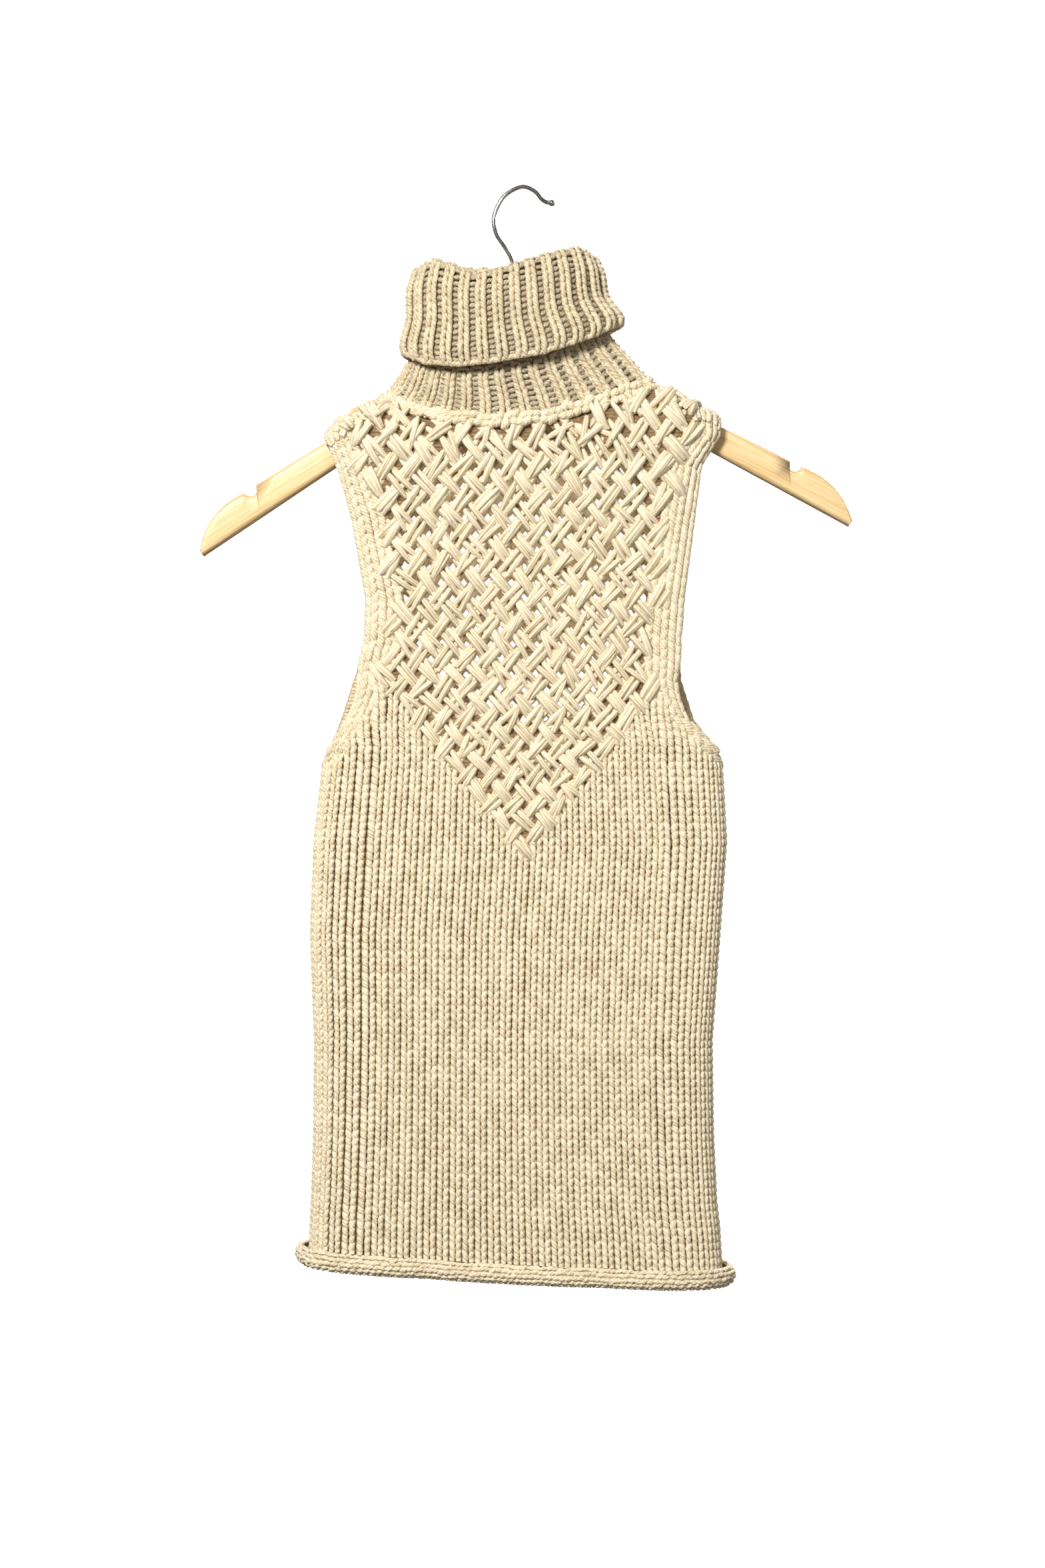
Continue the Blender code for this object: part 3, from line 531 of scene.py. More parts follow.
def panel_outline(side):
    """A panel's whole edge in the flat, anticlockwise from the hem's left end."""
    right = side_edge(side, 1)
    left = side_edge(side, -1)
    wide = float(edge_u(Z[0]))
    hem_u = np.arange(-wide + EDGE_STEP, wide - EDGE_STEP / 2, EDGE_STEP)
    hem = np.stack([hem_u, curl_start(hem_u) - CURL_FLAT], axis=1)
    tip = float(row_value(HALF_WIDTH, TIP_Z))
    centre = float(middle_at(TIP_Z))
    ends = (NECK_X - NECK_HALF_WIDTH, NECK_X + NECK_HALF_WIDTH)
    round_neck = NECK_X + NECK_HALF_WIDTH * np.cos(np.linspace(0, math.pi, NECK_POINTS))
    places = np.concatenate([
        np.linspace(tip + centre, ends[1], SHOULDER_POINTS)[:-1],
        round_neck,
        np.linspace(ends[0], -tip + centre, SHOULDER_POINTS)[1:],
    ])
    return np.concatenate([hem, right, top_line(side, places), left[::-1]])


OUTLINES = {side: panel_outline(side) for side in (FRONT, BACK)}


def flat_area(outline):
    ahead = np.roll(outline, -1, axis=0)
    return abs(np.sum(outline[:, 0] * ahead[:, 1] - ahead[:, 0] * outline[:, 1])) / 2


for side, word in ((FRONT, "front"), (BACK, "back")):
    print(f"the {word}'s cut is {flat_area(OUTLINES[side]) * 1e-6:.3f} square metres")

# %% Meshes from points
def object_from(name, points, faces, material):
    """A mesh from points in millimetres, placed in the scene in metres."""
    mesh = bpy.data.meshes.new(name)
    mesh.from_pydata((np.asarray(points) * MM).tolist(), [], [list(face) for face in faces])
    mesh.validate()
    mesh.shade_smooth()
    mesh.materials.append(material)
    made = bpy.data.objects.new(name, mesh)
    bpy.context.scene.collection.objects.link(made)
    return made


def inside(points, outline, margin):
    """Which points lie inside a closed outline and at least this far from its corners."""
    ahead = np.roll(outline, -1, axis=0)
    rise = ahead[:, 1] - outline[:, 1]
    rise = np.where(rise == 0, 1, rise)
    kept = []
    for x, y in points:
        crosses = (outline[:, 1] > y) != (ahead[:, 1] > y)
        at = outline[:, 0] + (y - outline[:, 1]) * (ahead[:, 0] - outline[:, 0]) / rise
        near = np.min(np.hypot(outline[:, 0] - x, outline[:, 1] - y)) < margin
        kept.append(np.count_nonzero(crosses & (at > x)) % 2 == 1 and not near)
    return np.array(kept)


# %% A net over a panel
GROUND_GRID = 8.0
CURL_GRID = 3.2
ARCH_GRID = 4.0
NET_TOP = -100.0
NET_MARGIN = 1.0
KNIT_LIFT = -2.0
PURL_LIFT = -3.6
GAP_ACROSS = 0.5
GAP_UP = 0.47
EDGE_CLEAR = 3.2
HOLE_CLEAR = 3.0
HOLE_REACH = 4.4


def ground_points(side, outline):
    """A net over the flat panel, closer where the cloth bends."""
    heights = list(np.arange(Z[0] + GROUND_GRID / 2, NET_TOP, GROUND_GRID))
    points = []
    wide = float(edge_u(Z[0]))
    for u in np.arange(-wide + GROUND_GRID, wide - NET_MARGIN, GROUND_GRID):
        start = float(curl_start(u))
        points += [(u, start - down) for down in np.arange(0, CURL_FLAT - NET_MARGIN, CURL_GRID)]
        arch = float(arch_start(side, np.array(u + middle_at(TIP_Z))))
        points += [(u, v) for v in heights if start + ARCH_GRID < v < arch - ARCH_GRID]
        points += [(u, v) for v in np.arange(arch, arch + ARCH_UNROLLED * 2, ARCH_GRID)]
    points = np.array(points)
    return points[inside(points, outline, EDGE_CLEAR)]


net = ground_points(FRONT, OUTLINES[FRONT])
print(f"the net over the front has {len(net)} points")

# %% Triangles between the points
INSIDE_ONLY = 1
TOO_NEAR = 1e-4


def cut_skin(points, edges, holes):
    """Triangles over flat points that keep to the given edges, without the holes."""
    placed = [Vector(point) for point in points]
    _, _, faces, origins, _, _ = delaunay_2d_cdt(placed, edges, [], INSIDE_ONLY, TOO_NEAR)
    first = [origin[0] for origin in origins]
    hole_of = {corner: number for number, hole in enumerate(holes) for corner in hole}
    kept = []
    for face in faces:
        a, b, c = (first[corner] for corner in face)
        if a in hole_of and hole_of[a] == hole_of.get(b) == hole_of.get(c):
            continue
        one = points[b] - points[a]
        two = points[c] - points[a]
        kept.append((a, b, c) if one[0] * two[1] > one[1] * two[0] else (a, c, b))
    return kept


def far_from(points, others, distance):
    kept = [p for p in points if np.min(np.hypot(*(others - p).T)) > distance]
    return np.array(kept)


# %% Hang both skins of the ground
def ground_cloth(name, side, material):
    outline = OUTLINES[side]
    count = len(outline)
    edges = [(i, (i + 1) % count) for i in range(count)]
    points = [np.array(p) for p in outline]
    holes = []
    for column, row in GAPS[side]:
        hole = []
        for across, up in ((GAP_ACROSS, 0), (0, GAP_UP), (-GAP_ACROSS, 0), (0, -GAP_UP)):
            hole.append(len(points))
            points.append(lattice_place(column + across, row + up))
        holes.append(hole)
        edges += [(hole[i], hole[(i + 1) % 4]) for i in range(4)]
    net = far_from(ground_points(side, outline), np.array(points[count:]), HOLE_CLEAR)
    centres = np.array([lattice_place(*gap) for gap in GAPS[side]])
    net = far_from(net, centres, HOLE_REACH)
    flat = np.concatenate([np.array(points), net])
    face, _, _, out = on_cloth(side, flat[:, 0], flat[:, 1])
    skins = [face + out * KNIT_LIFT, face + out * PURL_LIFT]
    for skin in skins:
        skin[:, 1] = side * np.maximum(side * skin[:, 1], SEAM_GAP / 2)
    knit = cut_skin(flat, edges, holes)
    shift = len(flat)
    faces = knit + [(a + shift, c + shift, b + shift) for a, b, c in knit]
    directed = {(t[i], t[(i + 1) % 3]) for t in knit for i in range(3)}
    for a, b in directed:
        if (b, a) not in directed:
            faces += [(b, a, a + shift), (b, a + shift, b + shift)]
    if side == BACK:
        faces = [one[::-1] for one in faces]
    made = object_from(name, np.concatenate(skins), faces, material)
    chart = made.data.attributes.new("chart", "FLOAT_VECTOR", "POINT")
    level = np.repeat([1.0, 0.0], shift)
    charted = np.column_stack([np.tile(flat, (2, 1)), level])
    chart.data.foreach_set("vector", charted.astype(np.float32).ravel())
    print(f"{name}: {len(faces)} faces, {len(holes)} open gaps")
    return made


# %% [markdown]
# ## Materials
#
# The yarn is soft cotton in a warm cream, spun with a thin gold thread that glitters here and
# there. Its fibres run along the strand with a slight twist, so the fibre pattern reads each
# strand's own coordinates, which are stored when the strand is made: x along it, y across it and
# z outwards, in millimetres. A random tone for each strand makes the yarn look spun by hand.
# The rib's darker shades are painted shade, for its yarn that gets less light than the panels',
# and its gutters are darker still, also painted shade, because hardly any light falls between the
# ribs. The ground under the stitches is painted as dark as the shade in gaps on its knit side, and
# it is pale on its purl side, where one looks at the bare inside of the cloth.

# %% A short way to build a material
class Finish:
    """A material, with a short way to add and join its nodes."""

    def __init__(self, name):
        self.made = bpy.data.materials.new(name)
        self.made.use_nodes = True
        self.nodes = self.made.node_tree.nodes
        self.links = self.made.node_tree.links
        self.shader = self.nodes["Principled BSDF"]

    def add(self, kind, settings=None, **values):
        made = self.nodes.new(kind)
        for key, value in (settings or {}).items():
            setattr(made, key, value)
        for socket, value in values.items():
            made.inputs[socket.replace("_", " ")].default_value = value
        return made

    def attribute(self, name):
        return self.add("ShaderNodeAttribute", {"attribute_name": name}).outputs

    def mapped(self, place, turn=0.0, scale=(1.0, 1.0, 1.0)):
        """Coordinates scaled and turned about z, in degrees."""
        made = self.add("ShaderNodeMapping", Rotation=(0, 0, math.radians(turn)), Scale=scale)
        self.links.new(place, made.inputs["Vector"])
        return made.outputs["Vector"]

    def pattern(self, kind, place, settings=None, **values):
        """A texture's values at the given coordinates."""
        made = self.add(kind, settings, **values)
        self.links.new(place, made.inputs["Vector"])
        return made.outputs["Fac"]

    def ramp(self, value, stops):
        """The colour that a value has between a few stops."""
        made = self.add("ShaderNodeValToRGB")
        band = made.color_ramp
        while len(band.elements) < len(stops):
            band.elements.new(0.5)
        for element, (place, colour) in zip(band.elements, stops):
            element.position = place
            element.color = (*colour, 1)
        self.links.new(value, made.inputs["Fac"])
        return made.outputs["Color"]

    def between(self, share, one, two):
        """A value between two others, which is the first where the share is 0."""
        made = self.add("ShaderNodeMix", {"data_type": "FLOAT"})
        made.inputs[0].default_value = share
        self.links.new(one, made.inputs[2])
        self.links.new(two, made.inputs[3])
        return made.outputs[0]

    def roughen(self, value, low, high):
        """Roughness that goes from one value to another with a pattern."""
        made = self.add("ShaderNodeMapRange", To_Min=low, To_Max=high)
        self.links.new(value, made.inputs["Value"])
        self.links.new(made.outputs["Result"], self.shader.inputs["Roughness"])

    def emboss(self, height, strength, distance):
        """Relief from a pattern, as deep as a distance in metres."""
        made = self.add("ShaderNodeBump", Strength=strength, Distance=distance)
        self.links.new(height, made.inputs["Height"])
        self.links.new(made.outputs["Normal"], self.shader.inputs["Normal"])


# %% Shades of the yarn
CREAMS = ((0.49, 0.37, 0.19), (0.79, 0.68, 0.48), (0.92, 0.82, 0.63))
# The rib's creams are the panels' yarn darkened as painted shade, for the collar's dimmer light.
RIB_SHADED_CREAMS = ((0.34, 0.26, 0.14), (0.63, 0.52, 0.34), (0.79, 0.69, 0.49))
SHADE_STOPS = (0.22, 0.46, 0.72)
# The gutters' yarn is darkened further by this share, painted shade between the ribs.
GUTTER_PAINTED_SHADE = 0.68
GUTTER_SHADED_CREAMS = tuple(tuple(GUTTER_PAINTED_SHADE * part for part in shade) for shade in RIB_SHADED_CREAMS)
# The ground's knit side in painted shade, as dark as the gaps between stitches.
GAP_SHADE_DARK = (0.18, 0.11, 0.05)
GAP_SHADE_LIGHT = (0.34, 0.23, 0.12)
RIB_GAP_SHADE_DARK = (0.20, 0.13, 0.06)
RIB_GAP_SHADE_LIGHT = (0.36, 0.26, 0.14)
PURL_DARK = (0.58, 0.46, 0.27)
PURL_LIGHT = (0.80, 0.68, 0.47)
GOLD = (1.0, 0.80, 0.42)
print("the yarn's shades from deep to light:", *CREAMS)

# %% Yarn
PLY_SCALE = 0.17
TONE_SHIFT = (61.0, 37.0, 83.0)
TONE_SHARE = 0.15
FIBRE_SCALE = (0.13, 1.0, 1.0)
TWIST = 26
LOOSE_TWIST = 18
MARKS = 0.35
LOOSE_MARKS = 0.38


def yarn_relief(finish, place, turn, marks):
    """The yarn's height: fibres along the strand, and marks where its plies meet."""
    along = finish.mapped(place, turn, FIBRE_SCALE)
    fibres = finish.pattern("ShaderNodeTexNoise", along, Scale=1.6, Detail=4.0, Roughness=0.65)
    aslant = finish.mapped(place, 90 - 1.6 * turn)
    wave = {"Scale": PLY_SCALE, "Distortion": 2.2, "Detail": 2.0, "Detail_Scale": 0.5}
    plies = finish.pattern("ShaderNodeTexWave", aslant, {"wave_profile": "SIN"}, **wave)
    return finish.between(marks, fibres, plies)


def gild(finish, place, colour):
    """Specks of gold thread, smooth and of metal, over the yarn's own colour."""
    speck = finish.pattern("ShaderNodeTexNoise", place, Scale=1.7, Detail=1.0)
    glint = finish.ramp(speck, ((0.65, (0, 0, 0)), (0.69, (1, 1, 1))))
    gilded = finish.add("ShaderNodeMix", {"data_type": "RGBA"})
    finish.links.new(glint, gilded.inputs[0])
    finish.links.new(colour, gilded.inputs[6])
    gilded.inputs[7].default_value = (*GOLD, 1)
    finish.links.new(gilded.outputs[2], finish.shader.inputs["Base Color"])
    finish.links.new(glint, finish.shader.inputs["Metallic"])
    finish.roughen(glint, low=0.85, high=0.28)


def yarn_material(name, creams, turn, marks):
    """Yarn whose plies turn by an angle, with marks between them from faint to strong; the marks are
    grooves, painted darker as shade.
    """
    finish = Finish(name)
    tone = finish.attribute("tone")
    shifted = finish.add("ShaderNodeVectorMath", {"operation": "MULTIPLY_ADD"})
    finish.links.new(tone["Vector"], shifted.inputs[0])
    shifted.inputs[1].default_value = TONE_SHIFT
    finish.links.new(finish.attribute("yarn")["Vector"], shifted.inputs[2])
    place = shifted.outputs["Vector"]
    relief = yarn_relief(finish, place, turn, marks)
    # The colour follows the relief: painted shade darkens the grooves between plies, mixed with random
    # tone of the fibres and of each strand.
    groove_shade_and_tone = finish.between(TONE_SHARE, relief, tone["Fac"])
    gild(finish, place, finish.ramp(groove_shade_and_tone, list(zip(SHADE_STOPS, creams))))
    finish.shader.inputs["Sheen Weight"].default_value = 0.25
    finish.shader.inputs["Sheen Roughness"].default_value = 0.6
    finish.emboss(relief, strength=0.8, distance=0.7 * MM)
    return finish.made


yarn = yarn_material("cream cotton yarn with gold thread", CREAMS, TWIST, MARKS)
loose_yarn = yarn_material("cream cotton yarn, hardly twisted", CREAMS, LOOSE_TWIST, LOOSE_MARKS)
rib_shaded_yarn = yarn_material("cream cotton yarn of the rib", RIB_SHADED_CREAMS, TWIST, MARKS)
gutter_shaded_yarn = yarn_material("cream cotton yarn in the gutters, darkened as painted shade", GUTTER_SHADED_CREAMS, TWIST, MARKS)
print(f"the yarn's material has {len(yarn.node_tree.nodes)} nodes")

# %% The ground's finish
def ground_material(name, dark, light):
    """The cloth behind the stitches: painted shade as dark as gaps outside, rows of pale purl bumps
    inside.
    """
    finish = Finish(name)
    chart = finish.attribute("chart")["Vector"]
    noise = finish.pattern("ShaderNodeTexNoise", chart, Scale=0.5, Detail=4.0)
    # Painted shade: the knit side is coloured as dark as the gaps between stitches.
    knit_side_shade = finish.ramp(noise, ((0.3, dark), (0.7, light)))
    purl_side = finish.ramp(noise, ((0.35, PURL_DARK), (0.65, PURL_LIGHT)))
    level = finish.add("ShaderNodeSeparateXYZ")
    finish.links.new(chart, level.inputs["Vector"])
    skin = finish.add("ShaderNodeMix", {"data_type": "RGBA"})
    finish.links.new(level.outputs["Z"], skin.inputs[0])
    finish.links.new(purl_side, skin.inputs[6])
    finish.links.new(knit_side_shade, skin.inputs[7])
    finish.links.new(skin.outputs[2], finish.shader.inputs["Base Color"])
    finish.shader.inputs["Roughness"].default_value = 0.9
    wave = {"Scale": 0.125, "Distortion": 1.6, "Detail_Scale": 0.35}
    rows = finish.pattern("ShaderNodeTexWave", chart, {"bands_direction": "Y"}, **wave)
    finish.emboss(rows, strength=0.8, distance=0.8 * MM)
    return finish.made


ground = ground_material("cotton ground cloth", GAP_SHADE_DARK, GAP_SHADE_LIGHT)
rib_ground = ground_material("cotton rib ground", RIB_GAP_SHADE_DARK, RIB_GAP_SHADE_LIGHT)
print("grounds:", ground.name, "and", rib_ground.name)

# %% Ground cloth of both panels
front_ground = ground_cloth("front_ground", FRONT, ground)
back_ground = ground_cloth("back_ground", BACK, ground)

# %% [markdown]
# ## One strand, many times
#
# Every stitch is a short length of the same yarn that rises in its middle and dips at its ends,
# where the next stitch covers it. Geometry Nodes are made for this: the tree below draws one
# strand as a tube with a few sides, puts a copy on every point and turns it by two vectors that
# the point carries, along the strand and out of the cloth. Two more numbers on the point draw the
# strand out and widen it where the cloth is spread. The sizes are the tree's inputs, so the same
# tree makes plain stitches, crossing strands, purl bumps and seam knots.

# %% The strand tree
STRAND_INPUTS = (
    ("Strand Length", "NodeSocketFloat"),
    ("Strand Width", "NodeSocketFloat"),
    ("Strand Thickness", "NodeSocketFloat"),
    ("Bow", "NodeSocketFloat"),
    ("Tilt", "NodeSocketFloat"),
    ("End Share", "NodeSocketFloat"),
    ("Rings", "NodeSocketInt"),
    ("Sides", "NodeSocketInt"),
    ("Unevenness", "NodeSocketFloat"),
    ("Seed", "NodeSocketInt"),
    ("Yarn", "NodeSocketMaterial"),
)

print("the tree takes:", ", ".join(name for name, _ in STRAND_INPUTS))

# %% A short way to build a tree
class TreeBuilder:
    """A short way to add and join nodes in one geometry tree."""

    def __init__(self, name):
        self.tree = bpy.data.node_groups.new(name, "GeometryNodeTree")
        self.tree.interface.new_socket("Geometry", in_out="INPUT", socket_type="NodeSocketGeometry")
        self.tree.interface.new_socket("Geometry", in_out="OUTPUT", socket_type="NodeSocketGeometry")

    def add(self, kind, settings=None, **inputs):
        made = self.tree.nodes.new(kind)
        for key, value in (settings or {}).items():
            setattr(made, key, value)
        for key, value in inputs.items():
            self.feed(made, key.replace("_", " "), value)
        return made

    def feed(self, made, socket, value):
        place = int(socket[2:]) if socket.startswith("in") and socket[2:].isdigit() else socket
        target = made.inputs[place]
        if isinstance(value, bpy.types.NodeSocket):
            self.tree.links.new(value, target)
        else:
            target.default_value = value

    def maths(self, operation, a, b):
        return self.add("ShaderNodeMath", {"operation": operation}, in0=a, in1=b).outputs[0]


# %% One strand
def straight_strand(build, given):
    """A tube along X whose ends are thinner than its middle, and the place of its points."""
    half = build.maths("MULTIPLY", given["Strand Length"], 0.5)
    left = build.maths("MULTIPLY", given["Strand Length"], -0.5)
    start = build.add("ShaderNodeCombineXYZ", X=left).outputs[0]
    end = build.add("ShaderNodeCombineXYZ", X=half).outputs[0]
    line = build.add("GeometryNodeCurvePrimitiveLine", Start=start, End=end).outputs[0]
    spread = build.add("GeometryNodeResampleCurve", Curve=line, Count=given["Rings"]).outputs[0]
    place = build.add("GeometryNodeInputPosition").outputs[0]
    x = build.add("ShaderNodeSeparateXYZ", Vector=place).outputs[0]
    reach = build.maths("DIVIDE", x, half)
    squared = build.maths("MULTIPLY", reach, reach)
    fourth = build.maths("MULTIPLY", squared, squared)
    loss = build.maths("SUBTRACT", 1.0, given["End Share"])
    lost = build.maths("MULTIPLY", fourth, loss)
    radius = build.maths("SUBTRACT", 1.0, lost)
    middle = build.maths("MULTIPLY", given["Strand Width"], 0.5)
    sized = build.maths("MULTIPLY", radius, middle)
    profile = build.add("GeometryNodeCurvePrimitiveCircle", Resolution=given["Sides"], Radius=1.0)
    tube = build.add(
        "GeometryNodeCurveToMesh",
        Curve=spread,
        Profile_Curve=profile.outputs[0],
        Scale=sized,
        Fill_Caps=True,
    )
    return tube.outputs[0], place, half


def bent_strand(build, given):
    """The strand with its bow and tilt, which keeps each point's place before it was bent."""
    tube, place, half = straight_strand(build, given)
    apart = build.add("ShaderNodeSeparateXYZ", Vector=place).outputs
    along = build.maths("DIVIDE", apart[0], half)
    fallen = build.maths("MULTIPLY", along, along)
    rise = build.maths("MULTIPLY", build.maths("SUBTRACT", 1.0, fallen), given["Bow"])
    lean = build.maths("MULTIPLY", along, given["Tilt"])
    flatter = build.maths("DIVIDE", given["Strand Thickness"], given["Strand Width"])
    height = build.maths("MULTIPLY", apart[2], flatter)
    lifted = build.maths("SUBTRACT", build.maths("ADD", height, rise), lean)
    bent = build.add("ShaderNodeCombineXYZ", X=apart[0], Y=apart[1], Z=lifted).outputs[0]
    shaped = build.add("GeometryNodeSetPosition", Geometry=tube, Position=bent)
    in_mm = build.add("ShaderNodeVectorMath", {"operation": "SCALE"}, in0=place, Scale=1 / MM)
    named = build.add(
        "GeometryNodeStoreNamedAttribute",
        {"data_type": "FLOAT_VECTOR", "domain": "POINT"},
        Geometry=shaped.outputs[0],
        Name="yarn",
        Value=in_mm.outputs[0],
    )
    smooth = build.add("GeometryNodeSetShadeSmooth", Geometry=named.outputs[0], Shade_Smooth=True)
    return smooth.outputs[0]


# %% A strand on every point
def placed_strands(build, given, strand):
    """Turns, draws out and widens a copy of the strand as each point says."""
    out = build.add("GeometryNodeInputNamedAttribute", {"data_type": "FLOAT_VECTOR"}, Name="out")
    heading = build.add("GeometryNodeInputNamedAttribute", {"data_type": "FLOAT_VECTOR"}, Name="along")
    turned = build.add(
        "FunctionNodeAxesToRotation",
        {"primary_axis": "Z", "secondary_axis": "X"},
        Primary_Axis=out.outputs[0],
        Secondary_Axis=heading.outputs[0],
    )
    stretch = build.add("GeometryNodeInputNamedAttribute", {"data_type": "FLOAT"}, Name="stretch")
    widen = build.add("GeometryNodeInputNamedAttribute", {"data_type": "FLOAT"}, Name="widen")
    low = build.maths("SUBTRACT", 1.0, given["Unevenness"])
    high = build.maths("ADD", 1.0, given["Unevenness"])
    uneven = build.add("FunctionNodeRandomValue", {"data_type": "FLOAT"}, Seed=given["Seed"])
    build.tree.links.new(low, uneven.inputs[2])
    build.tree.links.new(high, uneven.inputs[3])
    longer = build.maths("MULTIPLY", stretch.outputs[0], uneven.outputs[1])
    wider = build.maths("MULTIPLY", widen.outputs[0], uneven.outputs[1])
    scale = build.add("ShaderNodeCombineXYZ", X=longer, Y=wider, Z=1.0).outputs[0]
    placed = build.add(
        "GeometryNodeInstanceOnPoints",
        Points=given["Geometry"],
        Instance=strand,
        Rotation=turned.outputs[0],
        Scale=scale,
    )
    return placed.outputs[0]


def strand_tree():
    build = TreeBuilder("strands on points")
    for name, kind in STRAND_INPUTS:
        build.tree.interface.new_socket(name, in_out="INPUT", socket_type=kind)
    given = build.add("NodeGroupInput").outputs
    placed = placed_strands(build, given, bent_strand(build, given))
    tone = build.add("FunctionNodeRandomValue", {"data_type": "FLOAT"}, Seed=given["Seed"])
    groove_shade_and_tone = build.add(
        "GeometryNodeStoreNamedAttribute",
        {"data_type": "FLOAT", "domain": "INSTANCE"},
        Geometry=placed,
        Name="tone",
        Value=tone.outputs[1],
    )
    real = build.add("GeometryNodeRealizeInstances", Geometry=groove_shade_and_tone.outputs[0])
    finished = build.add("GeometryNodeSetMaterial", Geometry=real.outputs[0], Material=given["Yarn"])
    leave = build.add("NodeGroupOutput")
    build.tree.links.new(finished.outputs[0], leave.inputs[0])
    return build.tree


STRANDS = strand_tree()
print(f"tree: {len(STRANDS.nodes)} nodes, {len(STRAND_INPUTS)} inputs")

# %% Strands as a piece
WIDEN_LIMITS = (0.65, 1.35)


def strands(place, along, out, stretch=1.0, widen=1.0):
    """Strands as rows of numbers: their middles, their directions, how far drawn out and widened."""
    stretch = np.broadcast_to(np.asarray(stretch, float), (len(place),))
    widen = np.broadcast_to(np.asarray(widen, float), (len(place),))
    return np.column_stack([place, unit(along), unit(out), stretch, widen])


def laid_strands(side, u, v, across, up, lift, stretch=1.0):
    """Strands laid on a panel, as wide as the cloth is spread across there."""
    face, right, high, out = on_cloth(side, u, v)
    spread = panel_face(side, u + TINY, v) - panel_face(side, u - TINY, v)
    widen = np.clip(np.linalg.norm(spread, axis=-1) / (2 * TINY), *WIDEN_LIMITS)
    across = np.broadcast_to(across, np.shape(u))[:, None]
    up = np.broadcast_to(up, np.shape(u))[:, None]
    lift = np.broadcast_to(lift, np.shape(u))[:, None]
    return strands(face + out * lift, right * across + high * up, out, stretch, widen)


# %% From points to a plain mesh
def yarn_piece(name, rows, sizes, seed, material):
    """Runs the strand tree on a set of points and keeps the result as a plain mesh."""
    points = bpy.data.meshes.new(name + " points")
    points.from_pydata((rows[:, :3] * MM).tolist(), [], [])
    for key, first in (("along", 3), ("out", 6)):
        held = points.attributes.new(key, "FLOAT_VECTOR", "POINT")
        held.data.foreach_set("vector", rows[:, first:first + 3].astype(np.float32).ravel())
    for key, column in (("stretch", 9), ("widen", 10)):
        held = points.attributes.new(key, "FLOAT", "POINT")
        held.data.foreach_set("value", rows[:, column].astype(np.float32))
    made = bpy.data.objects.new(name, points)
    bpy.context.scene.collection.objects.link(made)
    modifier = made.modifiers.new("strands", "NODES")
    modifier.node_group = STRANDS
    values = {**sizes, "Seed": seed, "Yarn": material}
    for item in STRANDS.interface.items_tree:
        if item.in_out == "INPUT" and item.name in values:
            modifier[item.identifier] = values[item.name]
    evaluated = made.evaluated_get(bpy.context.evaluated_depsgraph_get())
    mesh = bpy.data.meshes.new_from_object(evaluated)
    made.modifiers.clear()
    made.data = mesh
    bpy.data.meshes.remove(points)
    mesh.name = name
    triangles = sum(len(p.vertices) - 2 for p in mesh.polygons)
    print(f"{name}: {len(rows)} strands, {triangles} triangles")
    return made


def strand_sizes(length, width, thickness, bow, tilt=0.0, end=0.45, rings=4, sides=6, uneven=0.07):
    return {
        "Strand Length": length * MM,
        "Strand Width": width * MM,
        "Strand Thickness": thickness * MM,
        "Bow": bow * MM,
        "Tilt": tilt * MM,
        "End Share": end,
        "Rings": rings,
        "Sides": sides,
        "Unevenness": uneven,
    }


# %% [markdown]
# ## Plain knitting
#
# Below and beside the lattice the cloth is plain stocking stitch: wales of nested Vs. Each V is
# two strands that lean towards each other at their lower ends. The wales spread a little towards
# the hem, as the cloth does, and they end at the side seams. Each point that falls on the
# lattice or too near an edge is left out, because other stitches lie there.

# %% Wales and rows
WALES_TO_SEAM = 17.6
WALES = np.arange(-17, 18)
KNIT_ROW = 5.2
ROWS_SLANTED = 60
KNIT_ROWS = np.arange(-2, 116)
LEG_SPREAD = 0.245
LEG_LEAN = math.radians(12.0)
LEG_LIFT = -1.3
ARMHOLE_BAND = 12.0
SEAM_BAND = 1.5
TOP_BAND = 3.0
V_CLEAR = 0.6
PLAIN_SIZES = strand_sizes(9.2, 3.65, 3.9, 1.3, tilt=0.85, end=0.5)


def wale_place(wale, row):
    """The middle of a stitch in the flat."""
    base = float(curl_start(0)) + KNIT_ROW * row
    narrow = edge_u(np.minimum(base, ARMHOLE_Z)) / WALES_TO_SEAM
    shift = LATTICE_X - middle_at(np.maximum(base, LATTICE_TIP))
    share = np.clip(np.abs(wale) / WALES_TO_SEAM, 0, 1)
    u = wale * narrow + shift * (1 - share**2)
    slanted = np.clip(1 - row / ROWS_SLANTED, 0, 1)
    return u, base + (curl_start(u) - curl_start(0)) * slanted, narrow


def plain_here(side, u, v):
    """Which points belong to the plain knitting."""
    row = lattice_row(v)
    column = (u - LATTICE_X + middle_at(v)) / (LATTICE_WALE + LATTICE_WALE_GAIN * row)
    free = np.abs(column) > row + V_CLEAR
    band = np.where(v > ARMHOLE_Z, ARMHOLE_BAND, SEAM_BAND)
    return free & (np.abs(u) < edge_u(v) - band) & (v < top_edge(side, u, v) - TOP_BAND)


def plain_stitches(side):
    wale, row = (grid.ravel().astype(float) for grid in np.meshgrid(WALES, KNIT_ROWS))
    u, v, width = wale_place(wale, row)
    kept = plain_here(side, u, v)
    u, v, width = u[kept], v[kept], width[kept]
    parts = []
    for hand in (-1, 1):
        across = hand * math.sin(LEG_LEAN)
        leg_u = u + hand * width * LEG_SPREAD
        parts.append(laid_strands(side, leg_u, v, across, math.cos(LEG_LEAN), LEG_LIFT))
    return np.concatenate(parts)


